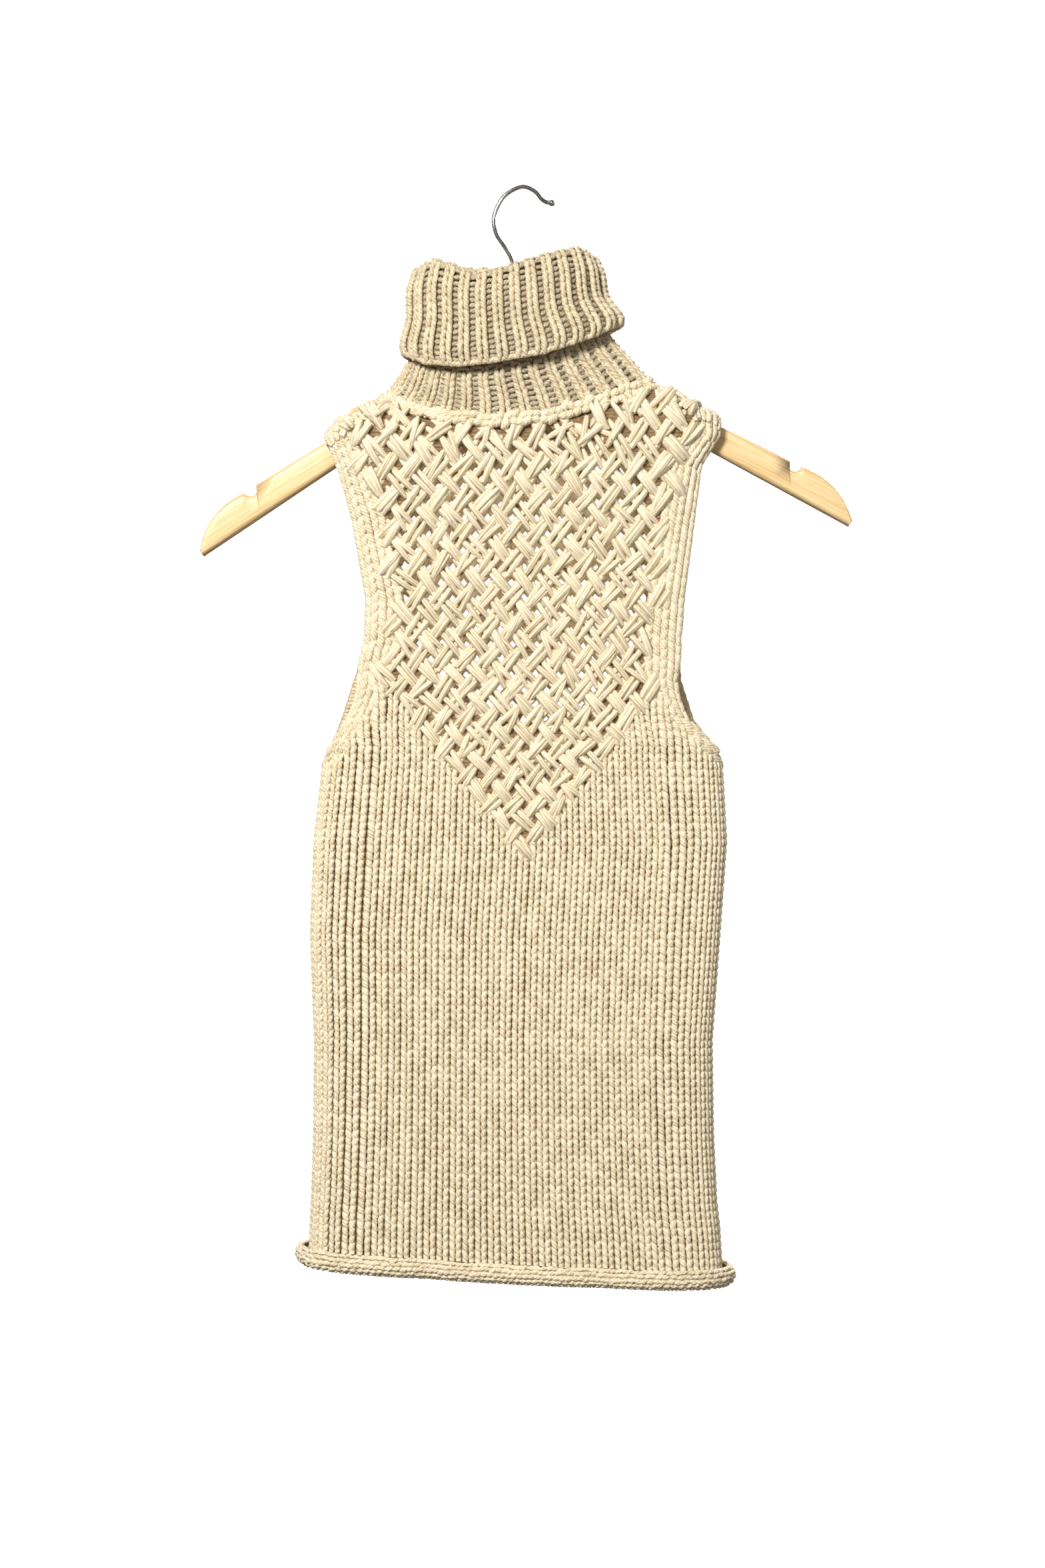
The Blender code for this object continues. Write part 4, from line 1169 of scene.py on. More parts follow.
SPLIT_Z = -565.0
knitted = {}
for side, word in ((FRONT, "front"), (BACK, "back")):
    rows = plain_stitches(side)
    low = rows[:, 2] < SPLIT_Z
    for part, chosen in (("skirt", low), ("chest", ~low)):
        name = f"{word}_{part}_knit"
        knitted[name] = yarn_piece(name, rows[chosen], PLAIN_SIZES, 11, yarn)

# %% [markdown]
# ## Crossing strands
#
# At each crossing two strands lie side by side over the two that pass below. Even rows lean one
# way and odd rows the other. Each strand is longer than its cell, so its ends slip under the
# crossings above and below it. On about a third of the crossings one more strand rides on top,
# and near the neck and the shoulders strands are bunched and doubled, as in the real cloth.

# %% Cables
CABLE_REACH = 0.76
CABLE_SPLAY = 2.05
CABLE_SIZES = strand_sizes(1.0, 4.3, 4.4, 2.5, end=0.68, rings=6, uneven=0.0)
CABLE_LAYERS = (
    # which way, place across, lift, share of the crossings
    (1, -1, -1.6, 1.0),
    (1, 1, -1.6, 1.0),
    (-1, -1, -4.0, 1.0),
    (-1, 1, -4.0, 1.0),
    (1, 0, -0.6, 0.3),
)
CABLE_SEED = 5
CABLE_SHIFT = 0.6
CABLE_TURN = 0.11
CABLE_UNEVEN = 0.25
CABLE_LENGTHS = (0.93, 1.06)
BUNCHED_REACH = 32.0
BUNCHED_SHIFT = 1.2
BUNCHED_TURN = 0.3
BUNCHED_EXTRA = 0.6
CABLE_EDGE = 15.0
NECK_CLEAR = 6.0
SHOULDER_CLEAR = -1.0
print(len(CABLE_LAYERS), "layers of strands")

# %% Where strands cross
def crossings(side):
    """Crossings whose middle lies on the panel, also those that its edge cuts."""
    kept = []
    for row in range(LATTICE_ROWS + 3):
        for column in range(-row, row + 1, 2):
            u, v = lattice_place(column, row)
            margin = NECK_CLEAR if neck_share(u + middle_at(v)) < 1 else SHOULDER_CLEAR
            if abs(u) < edge_u(v) - CABLE_EDGE and v < top_edge(side, u, v) - margin:
                kept.append((column, row))
    return np.array(kept, float)


print("crossings, front and back:", len(crossings(FRONT)), len(crossings(BACK)))

# %% Strands of the cables
def cable_strands(side):
    every = crossings(side)
    chance = np.random.default_rng(CABLE_SEED)
    parts = []
    for way, hand, lift, share in CABLE_LAYERS:
        spot = lattice_place(every[:, 0], every[:, 1])
        below = top_edge(side, spot[:, 0], spot[:, 1]) - spot[:, 1]
        bunched = np.clip(1 - below / BUNCHED_REACH, 0, 1)
        drawn = chance.uniform(0, 1, len(every)) < share + BUNCHED_EXTRA * bunched
        cells, bunched = every[drawn], bunched[drawn]
        lean = way * np.where(cells[:, 1] % 2 == 0, 1.0, -1.0)
        low = lattice_place(cells[:, 0] + CABLE_REACH * lean, cells[:, 1] - CABLE_REACH)
        high = lattice_place(cells[:, 0] - CABLE_REACH * lean, cells[:, 1] + CABLE_REACH)
        span = high - low
        length = np.linalg.norm(span, axis=1)
        heading = span / length[:, None]
        beside = np.stack([heading[:, 1], -heading[:, 0]], axis=1)
        middle = (low + high) / 2 + beside * hand * CABLE_SPLAY
        middle += chance.normal(0, 1, middle.shape) * (CABLE_SHIFT + BUNCHED_SHIFT * bunched)[:, None]
        turn = chance.normal(0, 1, len(cells)) * (CABLE_TURN + BUNCHED_TURN * bunched)
        across = heading[:, 0] + beside[:, 0] * turn
        up = heading[:, 1] + beside[:, 1] * turn
        high_up = lift + chance.normal(0, CABLE_UNEVEN, len(cells))
        long = length * chance.uniform(*CABLE_LENGTHS, len(cells))
        parts.append(laid_strands(side, middle[:, 0], middle[:, 1], across, up, high_up, long))
    return np.concatenate(parts)


for side, word in ((FRONT, "front"), (BACK, "back")):
    name = f"{word}_cables"
    knitted[name] = yarn_piece(name, cable_strands(side), CABLE_SIZES, 23, loose_yarn)

# %% [markdown]
# ## The collar
#
# The collar is a tube of rib that stands up from the neck seam, turns over at its crest and hangs
# down outside itself. It is worked out as rings round the neck, from the seam up to the crest and
# down to the fold's rim. Each ring has the same number of columns, and a column follows one
# place round the rib all the way. A smooth curve through the rings rounds the crest.

# %% The collar's rings
RIBS = 28
RIB_COLUMNS = 6
COLUMNS = RIBS * RIB_COLUMNS
STAND_RISE = 40.0
STAND_DROP = 3.0
COLLAR_GAP = 0.5
COLLAR_END_GAP = 0.7
END_GAP_POWER = 8
COLLAR_TOP = {
    FRONT: ((-77.0, -57.0), (-62.0, -52.0), (-44.0, -58.0), (-34.0, -63.5), (-16.0, -60.0),
            (4.0, -54.0), (26.0, -47.5), (42.0, -43.5), (55.0, -49.5)),
    BACK: ((-77.0, -57.0), (-40.0, -50.0), (20.0, -48.0), (55.0, -49.5)),
}
COLLAR_RIM = {
    FRONT: ((-82.0, -116.0), (-67.0, -124.0), (-44.0, -127.0), (-20.0, -125.0), (14.0, -119.0),
            (32.0, -113.0), (50.0, -106.0), (69.0, -95.0)),
    BACK: ((-82.0, -116.0), (0.0, -116.0), (69.0, -95.0)),
}
RIM_PLAN = (-6.5, 75.5, 36.0)
TOP_PLAN = (-11.0, 66.0, 31.4)
COLLAR_RINGS = (
    # middle, half width, half depth, zone, share of the zone's height
    (-5.5, 82.5, 23.5, "stand", 0.42),
    (-9.5, 70.5, 24.5, "stand", 0.88),
    (-9.5, 64.0, 25.0, "fold", 0.14),
    (-11.0, 60.6, 26.2, "fold", 0.88),
    (-11.0, 61.6, 27.4, "fold", 0.87),
    (-6.5, 71.6, 32.6, "fold", 0.03),
    (-6.5, 73.8, 34.6, "fold", 0.0),
    (*RIM_PLAN, "fold", 0.05),
    (-9.8, 69.0, 33.6, "fold", 0.45),
    (*TOP_PLAN, "fold", 0.86),
    (-11.0, 62.4, 28.2, "fold", 0.985),
    (-11.0, 57.4, 22.6, "fold", 0.92),
    (-9.5, 66.2, 20.4, "stand", 0.9),
    (-5.5, 78.2, 19.4, "stand", 0.44),
)

print(f"{RIBS} ribs round the neck")

# %% Rings on the neck seam
OVAL_POINTS = 1441


def oval(middle, half_width, half_depth):
    """Columns spaced evenly round an oval, from its right end by the back."""
    angle = np.linspace(0, 2 * math.pi, OVAL_POINTS)
    shape = np.stack([half_width * np.cos(angle), half_depth * np.sin(angle)], axis=1)
    travelled = np.concatenate([[0], np.cumsum(np.linalg.norm(np.diff(shape, axis=0), axis=1))])
    places = np.linspace(0, travelled[-1], COLUMNS, endpoint=False)
    x = np.interp(places, travelled, shape[:, 0])
    y = np.interp(places, travelled, shape[:, 1])
    return np.stack([middle + x, y], axis=1)


def neck_line(side, x):
    """The neck seam on one panel: its face and the direction outwards."""
    flat = top_line(side, x)
    face, _, _, out = on_cloth(side, flat[:, 0], flat[:, 1])
    return face, out


def seam_rings():
    """The collar's two lowest rings, which sit on the neck seam."""
    plan = oval(NECK_X, NECK_HALF_WIDTH, NECK_HALF_DEPTH)
    faces = {side: neck_line(side, plan[:, 0]) for side in (FRONT, BACK)}
    at_front = (plan[:, 1] < 0)[:, None]
    edge, out = (np.where(at_front, faces[FRONT][i], faces[BACK][i]) for i in (0, 1))
    for end in (0, COLUMNS // 2):
        edge[end, 1] = 0
        out[end, 1] = 0
    out = unit(out)
    away = unit(np.cross(out, np.roll(edge, -1, axis=0) - np.roll(edge, 1, axis=0)))
    inwards = np.array([NECK_X, 0, 0]) - edge
    inwards[:, 2] = STAND_RISE
    away[np.sum(away * inwards, axis=1) < 0] *= -1
    gap = (COLLAR_GAP + COLLAR_END_GAP * neck_share(plan[:, 0]) ** END_GAP_POWER)[:, None]
    return [edge - out * (WALL - COLLAR_END_GAP) + away * gap, edge + away * gap]


print(f"the neck seam's rings have {len(seam_rings()[1])} points each")

# %% All of the collar's rings
def collar_loops():
    rings = seam_rings()
    plan = oval(NECK_X, NECK_HALF_WIDTH, NECK_HALF_DEPTH)
    heights = []
    for table, line in ((COLLAR_RIM, RIM_PLAN), (COLLAR_TOP, TOP_PLAN)):
        x = oval(*line)[:, 0]
        levels = {side: np.interp(x, *np.array(rows).T) for side, rows in table.items()}
        heights.append(np.where(plan[:, 1] < 0, levels[FRONT], levels[BACK]))
    rim, top = heights
    seam_height = rings[1][:, 2]
    for middle, half_width, half_depth, zone, share in COLLAR_RINGS:
        low, high = (seam_height, rim - STAND_DROP) if zone == "stand" else (rim, top)
        height = low + (high - low) * share
        rings.append(np.column_stack([oval(middle, half_width, half_depth), height]))
    return np.array(rings)


# %% A smooth way through the rings
def smooth_rings(rings, step):
    """Rings at even steps along the smooth curve through a few given rings."""
    spans = np.linalg.norm(np.diff(rings, axis=0), axis=-1).mean(axis=1)
    knots = np.concatenate([[0], np.cumsum(spans)])
    slopes = np.gradient(rings, knots, axis=0)
    places = np.linspace(0, knots[-1], round(knots[-1] / step) + 1)
    near = np.clip(np.searchsorted(knots, places, side="right") - 1, 0, len(spans) - 1)
    span = spans[near][:, None, None]
    t = ((places - knots[near]) / spans[near])[:, None, None]
    value = (2 * t**3 - 3 * t**2 + 1) * rings[near] + (3 * t**2 - 2 * t**3) * rings[near + 1]
    value += (t**3 - 2 * t**2 + t) * span * slopes[near] + (t**3 - t**2) * span * slopes[near + 1]
    return value


PATH_STEP = 1.0
LOOPS = collar_loops()
STAND_PATH = smooth_rings(LOOPS[1:5], PATH_STEP)
FOLD_PATH = smooth_rings(np.concatenate([LOOPS[8:], LOOPS[:1]]), PATH_STEP)
print(f"collar: {len(STAND_PATH)} mm of stand and {len(FOLD_PATH)} mm of fold and inside")

# %% Places on the collar
def on_rings(path, column, place):
    """Points at fractions of columns and rings."""
    place = np.clip(place, 0, len(path) - 1.001)
    low = np.floor(place).astype(int)
    left = np.floor(column).astype(int)
    over = (place - low)[..., None]
    beside = (column - left)[..., None]
    rows = []
    for ring_number in (low, low + 1):
        one = path[ring_number, left % COLUMNS]
        two = path[ring_number, (left + 1) % COLUMNS]
        rows.append(one * (1 - beside) + two * beside)
    return rows[0] * (1 - over) + rows[1] * over


def on_collar(path, column, place):
    """A point on the collar, with its directions round, along the rib and outwards."""
    column, place = (grid.astype(float) for grid in np.broadcast_arrays(column, place))
    round_it = unit(on_rings(path, column + 0.5, place) - on_rings(path, column - 0.5, place))
    along = unit(on_rings(path, column, place + 1) - on_rings(path, column, place - 1))
    return on_rings(path, column, place), round_it, along, unit(np.cross(round_it, along))


# %% The wall under the rib
GROUND_STEP = 2.4
CHART_COLUMN = 2.1
GROUND_LIFTS = {"outside": (-1.8, -1.1), "inside": (-0.9, -0.3), "hidden": (0.0, 0.0)}


def collar_ground(name, material):
    """The closed wall under the rib's stitches, a little lower in the gutters."""
    outside = smooth_rings(LOOPS[1:5], GROUND_STEP)[:-1]
    hidden = LOOPS[4:8]
    folded = smooth_rings(np.concatenate([LOOPS[8:], LOOPS[:1]]), GROUND_STEP)
    crest = int(np.argmax(folded[:, :, 2].mean(axis=1)))
    zones = ["outside"] * len(outside) + ["hidden"] * len(hidden)
    zones += ["outside"] * crest + ["inside"] * (len(folded) - crest)
    rings = np.concatenate([outside, hidden, folded])
    round_it = unit(np.roll(rings, -1, axis=1) - np.roll(rings, 1, axis=1))
    along = unit(np.roll(rings, -1, axis=0) - np.roll(rings, 1, axis=0))
    out = unit(np.cross(round_it, along))
    gutter = 0.5 + 0.5 * np.cos(2 * math.pi * np.arange(COLUMNS) / RIB_COLUMNS)
    lift = np.array([GROUND_LIFTS[zone][0] + GROUND_LIFTS[zone][1] * gutter for zone in zones])
    points = (rings + out * lift[..., None]).reshape(-1, 3)
    count = len(rings)
    faces = []
    for level in range(count):
        above = (level + 1) % count
        for column in range(COLUMNS):
            beside = (column + 1) % COLUMNS
            corners = (level * COLUMNS + column, level * COLUMNS + beside)
            faces.append((*corners, above * COLUMNS + beside, above * COLUMNS + column))
    made = object_from(name, points, faces, material)
    chart = made.data.attributes.new("chart", "FLOAT_VECTOR", "POINT")
    columns, levels = np.meshgrid(np.arange(COLUMNS) * CHART_COLUMN, np.arange(count) * GROUND_STEP)
    charted = np.stack([columns.ravel(), levels.ravel(), np.ones(columns.size)], axis=1)
    chart.data.foreach_set("vector", charted.astype(np.float32).ravel())
    print(f"{name}: {len(faces)} faces")
    return made


# The collar's ground shows its knit side everywhere, in painted shade.
collar_wall = collar_ground("collar_ground", rib_ground)

# %% [markdown]
# ## Rib stitches
#
# Each rib is one wale of knit stitches, which reads as two cords side by side, and the gutter
# between ribs is a wale of purl bumps that lie across it. The cords are overlapping strands again,
# and so are the bumps and the cast-off edge along the fold's rim. On the fold the cloth is
# turned over, so there the Vs of the rib point upwards. Round the crest the cloth is bent and the
# gutters open, so the bumps rise there.

# %% Cords of the rib
CORD_APART = 0.98
CORD_PITCH = 5.0
CORD_LEAN = math.radians(9.0)
CORD_LIFT = -1.15
CORD_SEED = 3
CORD_SHIFT = 0.2
CORD_STRETCH = (0.75, 1.4)
CORD_SIZES = strand_sizes(9.2, 3.95, 4.1, 0.9, tilt=0.6, end=0.5)


def rib_cords(path, first, last, turned_over):
    places = np.arange(first, last, CORD_PITCH / PATH_STEP)
    chance = np.random.default_rng(CORD_SEED)
    parts = []
    for hand in (-1, 1):
        columns = (np.arange(RIBS) + 0.5) * RIB_COLUMNS + hand * CORD_APART
        column, place = (grid.ravel() for grid in np.meshgrid(columns, places))
        place = place + chance.normal(0, CORD_SHIFT, place.shape)
        point, round_it, along, out = on_collar(path, column, place)
        span = CORD_PITCH / 2
        reach = on_rings(path, column, place + span) - on_rings(path, column, place - span)
        stretch = np.clip(np.linalg.norm(reach, axis=1) / CORD_PITCH, *CORD_STRETCH)
        lean = hand * math.sin(CORD_LEAN) * (-1 if turned_over else 1)
        parts.append(strands(point + out * CORD_LIFT, along + round_it * lean, out, stretch))
    return np.concatenate(parts)


# %% Purl bumps and the cast-off edge
BUMP_PITCH = 3.7
BUMP_LIFT = -3.1
BUMP_RISE = 2.1
CREST_REACH = 16.0
BUMP_SEED = 7
BUMP_TURN = 0.16
BUMP_SIZES = strand_sizes(5.8, 3.5, 3.0, 0.9, end=0.6, rings=3)
RIM_PITCH = 4.4
RIM_PLACE = 1.6
RIM_LIFT = -1.2
RIM_TURN = 0.12
RIM_SIZES = strand_sizes(7.2, 4.0, 3.6, 0.5, tilt=0.4, end=0.6)


def rib_bumps(path, first, last):
    places = np.arange(first, last, BUMP_PITCH / PATH_STEP)
    column, place = (g.ravel() for g in np.meshgrid(np.arange(RIBS) * RIB_COLUMNS, places))
    chance = np.random.default_rng(BUMP_SEED)
    point, round_it, along, out = on_collar(path, column, place)
    turn = chance.normal(0, BUMP_TURN, (len(point), 1))
    crest = np.argmax(path[:, :, 2].mean(axis=1))
    near = np.clip(1 - np.abs(place - crest) / CREST_REACH, 0, 1)[:, None]
    lift = BUMP_LIFT + BUMP_RISE * near
    return strands(point + out * lift, round_it + along * turn, out)


def rim_edge():
    count = round(np.linalg.norm(np.diff(FOLD_PATH[3], axis=0), axis=1).sum() / RIM_PITCH)
    column = np.arange(count) * COLUMNS / count
    point, round_it, along, out = on_collar(FOLD_PATH, column, RIM_PLACE)
    return strands(point + out * RIM_LIFT, round_it + along * RIM_TURN, out)


print(f"the cast-off edge has {len(rim_edge())} stitches")

# %% Knit the collar
FOLD_CORDS_FROM = 4.5
FOLD_BUMPS_FROM = 4.0
FOLD_TO = len(FOLD_PATH) - 6
STAND_CORDS_FROM = 3.5
STAND_BUMPS_FROM = 3.0
STAND_TO = len(STAND_PATH) - 12
fold_rows = rib_cords(FOLD_PATH, FOLD_CORDS_FROM, FOLD_TO, True)
stand_rows = rib_cords(STAND_PATH, STAND_CORDS_FROM, STAND_TO, False)
bump_rows = np.concatenate([
    rib_bumps(FOLD_PATH, FOLD_BUMPS_FROM, FOLD_TO),
    rib_bumps(STAND_PATH, STAND_BUMPS_FROM, STAND_TO),
])
collar_knit = {
    "collar_fold_ribs": yarn_piece("collar_fold_ribs", fold_rows, CORD_SIZES, 31, rib_shaded_yarn),
    "collar_stand_ribs": yarn_piece("collar_stand_ribs", stand_rows, CORD_SIZES, 37, rib_shaded_yarn),
    "collar_purl_bumps": yarn_piece("collar_purl_bumps", bump_rows, BUMP_SIZES, 41, gutter_shaded_yarn),
    "collar_cast_off": yarn_piece("collar_cast_off", rim_edge(), RIM_SIZES, 43, rib_shaded_yarn),
}

# %% [markdown]
# ## Seams and edges
#
# The seam that joins the collar to the body pushes up two rows of round bumps. Five smooth chains
# of long stitches edge each armhole, and the hem rolls outwards, so its purl side shows as small
# bumps. Each is the strand tree again with its own sizes.

# %% Neck seam
KNOT_PITCH = 5.0
KNOT_ROWS = (
    # shift along the seam, place up the collar, lift
    (0.0, 0.0, -0.2),
    (0.5, 4.6, -0.7),
)
KNOT_SEED = 13
KNOT_UNEVEN = (0.4, 0.6, 0.6)
KNOT_SIZES = strand_sizes(8.4, 5.6, 5.4, 2.2, end=0.55, rings=4)


def neck_knots():
    chance = np.random.default_rng(KNOT_SEED)
    beside, above, turned = KNOT_UNEVEN
    parts = []
    around = np.linalg.norm(np.roll(LOOPS[1], -1, axis=0) - LOOPS[1], axis=1).sum()
    count = round(around / KNOT_PITCH)
    for shift, place, lift in KNOT_ROWS:
        column = (np.arange(count) + shift) * COLUMNS / count
        column = column + chance.normal(0, beside, count)
        spot = place + chance.normal(0, above, count)
        point, round_it, along, out = on_collar(STAND_PATH, column, np.maximum(spot, 0))
        turn = chance.normal(0, turned, (count, 1))
        parts.append(strands(point + out * lift, round_it + along * turn, out))
    return np.concatenate(parts)


# %% Armhole edges
EDGE_PITCH = 6.5
EDGE_CHAINS = (
    # distance in from the edge, lift, lean
    (2.2, -1.5, 0.10),
    (6.2, -0.9, -0.14),
    (10.2, -1.0, 0.16),
    (14.2, -2.2, -0.12),
    (18.2, -2.8, 0.12),
)
EDGE_BELOW = 8.0
EDGE_STAGGER = 2.1
EDGE_TOP = 2.0
EDGE_SEED = 17
EDGE_UNEVEN = (0.5, 0.03)
EDGE_SIZES = strand_sizes(12.8, 4.5, 3.9, 0.9, tilt=0.6, end=0.5, rings=5)


def armhole_chains(side):
    chance = np.random.default_rng(EDGE_SEED)
    shifted, leaning = EDGE_UNEVEN
    parts = []
    for hand in (-1, 1):
        for number, (inset, lift, lean) in enumerate(EDGE_CHAINS):
            top = float(np.max(OUTLINES[side][:, 1])) + ARCH_UNROLLED * math.pi / 2
            v = np.arange(ARMHOLE_Z - EDGE_BELOW + number * EDGE_STAGGER, top, EDGE_PITCH)
            v = v + chance.normal(0, shifted, len(v))
            u = hand * (edge_u(np.minimum(v, TIP_Z)) - inset)
            keep = v < top_edge(side, u, v) - EDGE_TOP
            u, v = u[keep], v[keep]
            slope = hand * (edge_u(np.minimum(v + 2, TIP_Z)) - edge_u(v - 2)) / 4
            across = slope + hand * lean + chance.normal(0, leaning, len(v))
            parts.append(laid_strands(side, u, v, across, 1.0, lift))
    return np.concatenate(parts)


# %% Hem roll
HEM_BUMP_ACROSS = 4.0
HEM_BUMP_TURN = math.radians(29.5)
HEM_FIRST_TURN = math.radians(24.0)
HEM_MARGIN = 1.5
HEM_PURL_DEPTH = WALL - 1.1
HEM_SEED = 19
HEM_UNEVEN = (0.35, 0.25, 0.2)
HEM_BUMP_SIZES = strand_sizes(5.6, 3.5, 3.1, 0.8, end=0.55, rings=3)


def hem_bumps(side):
    chance = np.random.default_rng(HEM_SEED)
    beside, above, turned = HEM_UNEVEN
    wide = float(edge_u(Z[0])) - HEM_MARGIN
    parts = []
    for number, turn in enumerate(np.arange(HEM_FIRST_TURN, CURL_ANGLE, HEM_BUMP_TURN)):
        u = np.arange(-wide + (number % 2) * HEM_BUMP_ACROSS / 2, wide, HEM_BUMP_ACROSS)
        u = u + chance.normal(0, beside, len(u))
        v = curl_start(u) - turn * CURL_RADIUS + chance.normal(0, above, len(u))
        face, right, high, out = on_cloth(side, u, v)
        lean = chance.normal(0, turned, (len(u), 1))
        parts.append(strands(face - out * HEM_PURL_DEPTH, right + high * lean, -out))
    return np.concatenate(parts)


edges = {"neck_seam_knots": yarn_piece("neck_seam_knots", neck_knots(), KNOT_SIZES, 47, yarn)}
for side, word in ((FRONT, "front"), (BACK, "back")):
    name = f"{word}_armhole_edges"
    edges[name] = yarn_piece(name, armhole_chains(side), EDGE_SIZES, 53, yarn)
    name = f"{word}_hem_roll"
    edges[name] = yarn_piece(name, hem_bumps(side), HEM_BUMP_SIZES, 59, yarn)

# %% [markdown]
# ## The wooden hanger
#
# The hanger is a bow of pale wood with soft edges, a notch near each end and a thin varnish. It is
# drawn as a row of rounded sections from tip to tip, closer together where the outline bends. The
# grain runs along each arm, so every point keeps its own measure along and across the arm, and
# the material reads that instead of the object's coordinates.

# %% The hanger's outline
HANGER_THICK = 12.0
HANGER_EDGE = 4.2
EDGE_SHARE = 0.45
NOTCH_REACH = 213.4
NOTCH_RADIUS = 4.7
NOTCH_SUNK = 0.8
NOTCH_LIP = 0.12
NOTCH_SPREAD = 2.0
ARM_END = ((191.8, -106.3), (216.0, -125.4), (223.5, -144.6))
ARM_TIP = (221.6, -148.2)
ARM_UNDERSIDE = ((0.0, -27.0), (26.0, -31.5), (60.0, -50.8), (131.0, -93.4), ARM_TIP)
SADDLE = ((0.0, -5.0), (4.5, -5.5), (9.0, -6.6), (13.5, -8.1), (18.0, -10.0))
PLAIN_ARM = (30.0, 45.0, 60.0, 90.0, 120.0, 150.0, 170.0)
ARC_POINTS = 16
TIP_STEP = 0.25
CORNER_STEPS = 7


def arc_through(start, middle, end, count):
    """Points along the circular arc through three points."""
    a, b, c = (complex(*point) for point in (start, middle, end))
    w = (c - a) / (b - a)
    centre = (b - a) * (w - abs(w) ** 2) / (2j * w.imag) + a
    begin = np.angle(a - centre)
    angles = begin + np.angle((c - centre) / (a - centre)) * np.linspace(0, 1, count)
    radius = abs(a - centre)
    return [(centre.real + radius * math.cos(t), centre.imag + radius * math.sin(t)) for t in angles]


def arm_stations():
    """Pairs of points on one arm's upper and lower edge, from its middle out to its tip."""
    reach = NOTCH_REACH * math.cos(ARM_SLOPE)
    centre = (reach, -reach * math.tan(ARM_SLOPE) - NOTCH_SUNK)
    first = math.pi - ARM_SLOPE
    turns = np.linspace(first - NOTCH_LIP, first + math.pi + NOTCH_LIP, ARC_POINTS)
    notch = np.array(centre) + NOTCH_RADIUS * np.stack([np.cos(turns), np.sin(turns)], axis=1)
    notch = [tuple(point) for point in notch.tolist()]
    start = [*SADDLE, *[(x, -x * math.tan(ARM_SLOPE)) for x in PLAIN_ARM]]
    end = arc_through(*ARM_END, ARC_POINTS)
    below = [x for x, _ in start]
    below += list(np.linspace(notch[0][0] - NOTCH_SPREAD, notch[-1][0] + NOTCH_SPREAD, len(notch)))
    for number, (x, _) in enumerate(end):
        below.append(min(x + NOTCH_SPREAD * 2, ARM_TIP[0] - TIP_STEP * (len(end) - number)))
    low_x, low_z = zip(*ARM_UNDERSIDE)
    return list(zip(start + notch + end, [(x, float(np.interp(x, low_x, low_z))) for x in below]))


print(f"one arm has {len(arm_stations())} stations")

# %% The hanger's section
def rounded_section(high, low):
    span = np.array(high) - np.array(low)
    length = float(np.linalg.norm(span))
    up = span / length
    radius = min(HANGER_EDGE, length * EDGE_SHARE)
    points = []
    for corner, (across, end) in enumerate(((1, 1), (-1, 1), (-1, -1), (1, -1))):
        base = np.array(high if end > 0 else low) - up * end * radius
        for angle in math.pi / 2 * (corner + np.linspace(0, 1, CORNER_STEPS)):
            y = across * (HANGER_THICK / 2 - radius) + radius * math.cos(angle)
            place = base + up * radius * math.sin(angle)
            points.append((place[0], y, place[1]))
    return points


# %% Wood
GRAIN_SCALE = (0.012, 0.55, 0.55)
PORE_SCALE = (0.09, 3.2, 3.2)
PORE_SHARE = 0.3
WOOD_STOPS = ((0.36, (0.66, 0.41, 0.16)), (0.5, (0.80, 0.58, 0.29)), (0.64, (0.88, 0.69, 0.41)))


def wood_material():
    finish = Finish("pale varnished wood")
    grain = finish.attribute("grain")["Vector"]
    rings = finish.pattern(
        "ShaderNodeTexNoise",
        finish.mapped(grain, scale=GRAIN_SCALE),
        Scale=1.0,
        Detail=6.0,
        Roughness=0.62,
        Distortion=0.35,
    )
    fine = finish.mapped(grain, scale=PORE_SCALE)
    pores = finish.pattern("ShaderNodeTexNoise", fine, Scale=1.0, Detail=3.0)
    colour = finish.ramp(finish.between(PORE_SHARE, rings, pores), WOOD_STOPS)
    finish.links.new(colour, finish.shader.inputs["Base Color"])
    finish.shader.inputs["Roughness"].default_value = 0.42
    finish.shader.inputs["Coat Weight"].default_value = 0.3
    finish.shader.inputs["Coat Roughness"].default_value = 0.22
    finish.emboss(pores, strength=0.15, distance=0.15 * MM)
    return finish.made


wood = wood_material()
print(f"{wood.name}: {len(wood.node_tree.nodes)} nodes")

# %% The hanger
def hanger_bow(name, material):
    arm = arm_stations()
    mirrored = [((-high[0], high[1]), (-low[0], low[1])) for high, low in arm[:0:-1]]
    sections = [rounded_section(high, low) for high, low in mirrored + arm]
    sides = len(sections[0])
    points = np.array([point for section in sections for point in section])
    along = np.abs(points[:, 0]) / math.cos(ARM_SLOPE)
    height = points[:, 2] + np.abs(points[:, 0]) * math.tan(ARM_SLOPE)
    charted = np.column_stack([along + 500 * (points[:, 0] > 0), points[:, 1], height])
    turn = np.array([
        [math.cos(HANGER_TILT), -math.sin(HANGER_TILT)],
        [math.sin(HANGER_TILT), math.cos(HANGER_TILT)],
    ])
    points[:, ::2] = points[:, ::2] @ turn.T + np.array(HANGER_APEX)
    last = (len(sections) - 1) * sides
    faces = [list(range(sides)), list(range(last + sides - 1, last - 1, -1))]
    for start in range(0, last, sides):
        for i in range(sides):
            beside = (i + 1) % sides
            faces.append((start + beside, start + i, start + sides + i, start + sides + beside))
    made = object_from(name, points, faces, material)
    held = made.data.attributes.new("grain", "FLOAT_VECTOR", "POINT")
    held.data.foreach_set("vector", charted.astype(np.float32).ravel())
    print(f"{name}: {len(sections)} sections, {len(faces)} faces")
    return made


wooden_bow = hanger_bow("wooden_bow", wood)

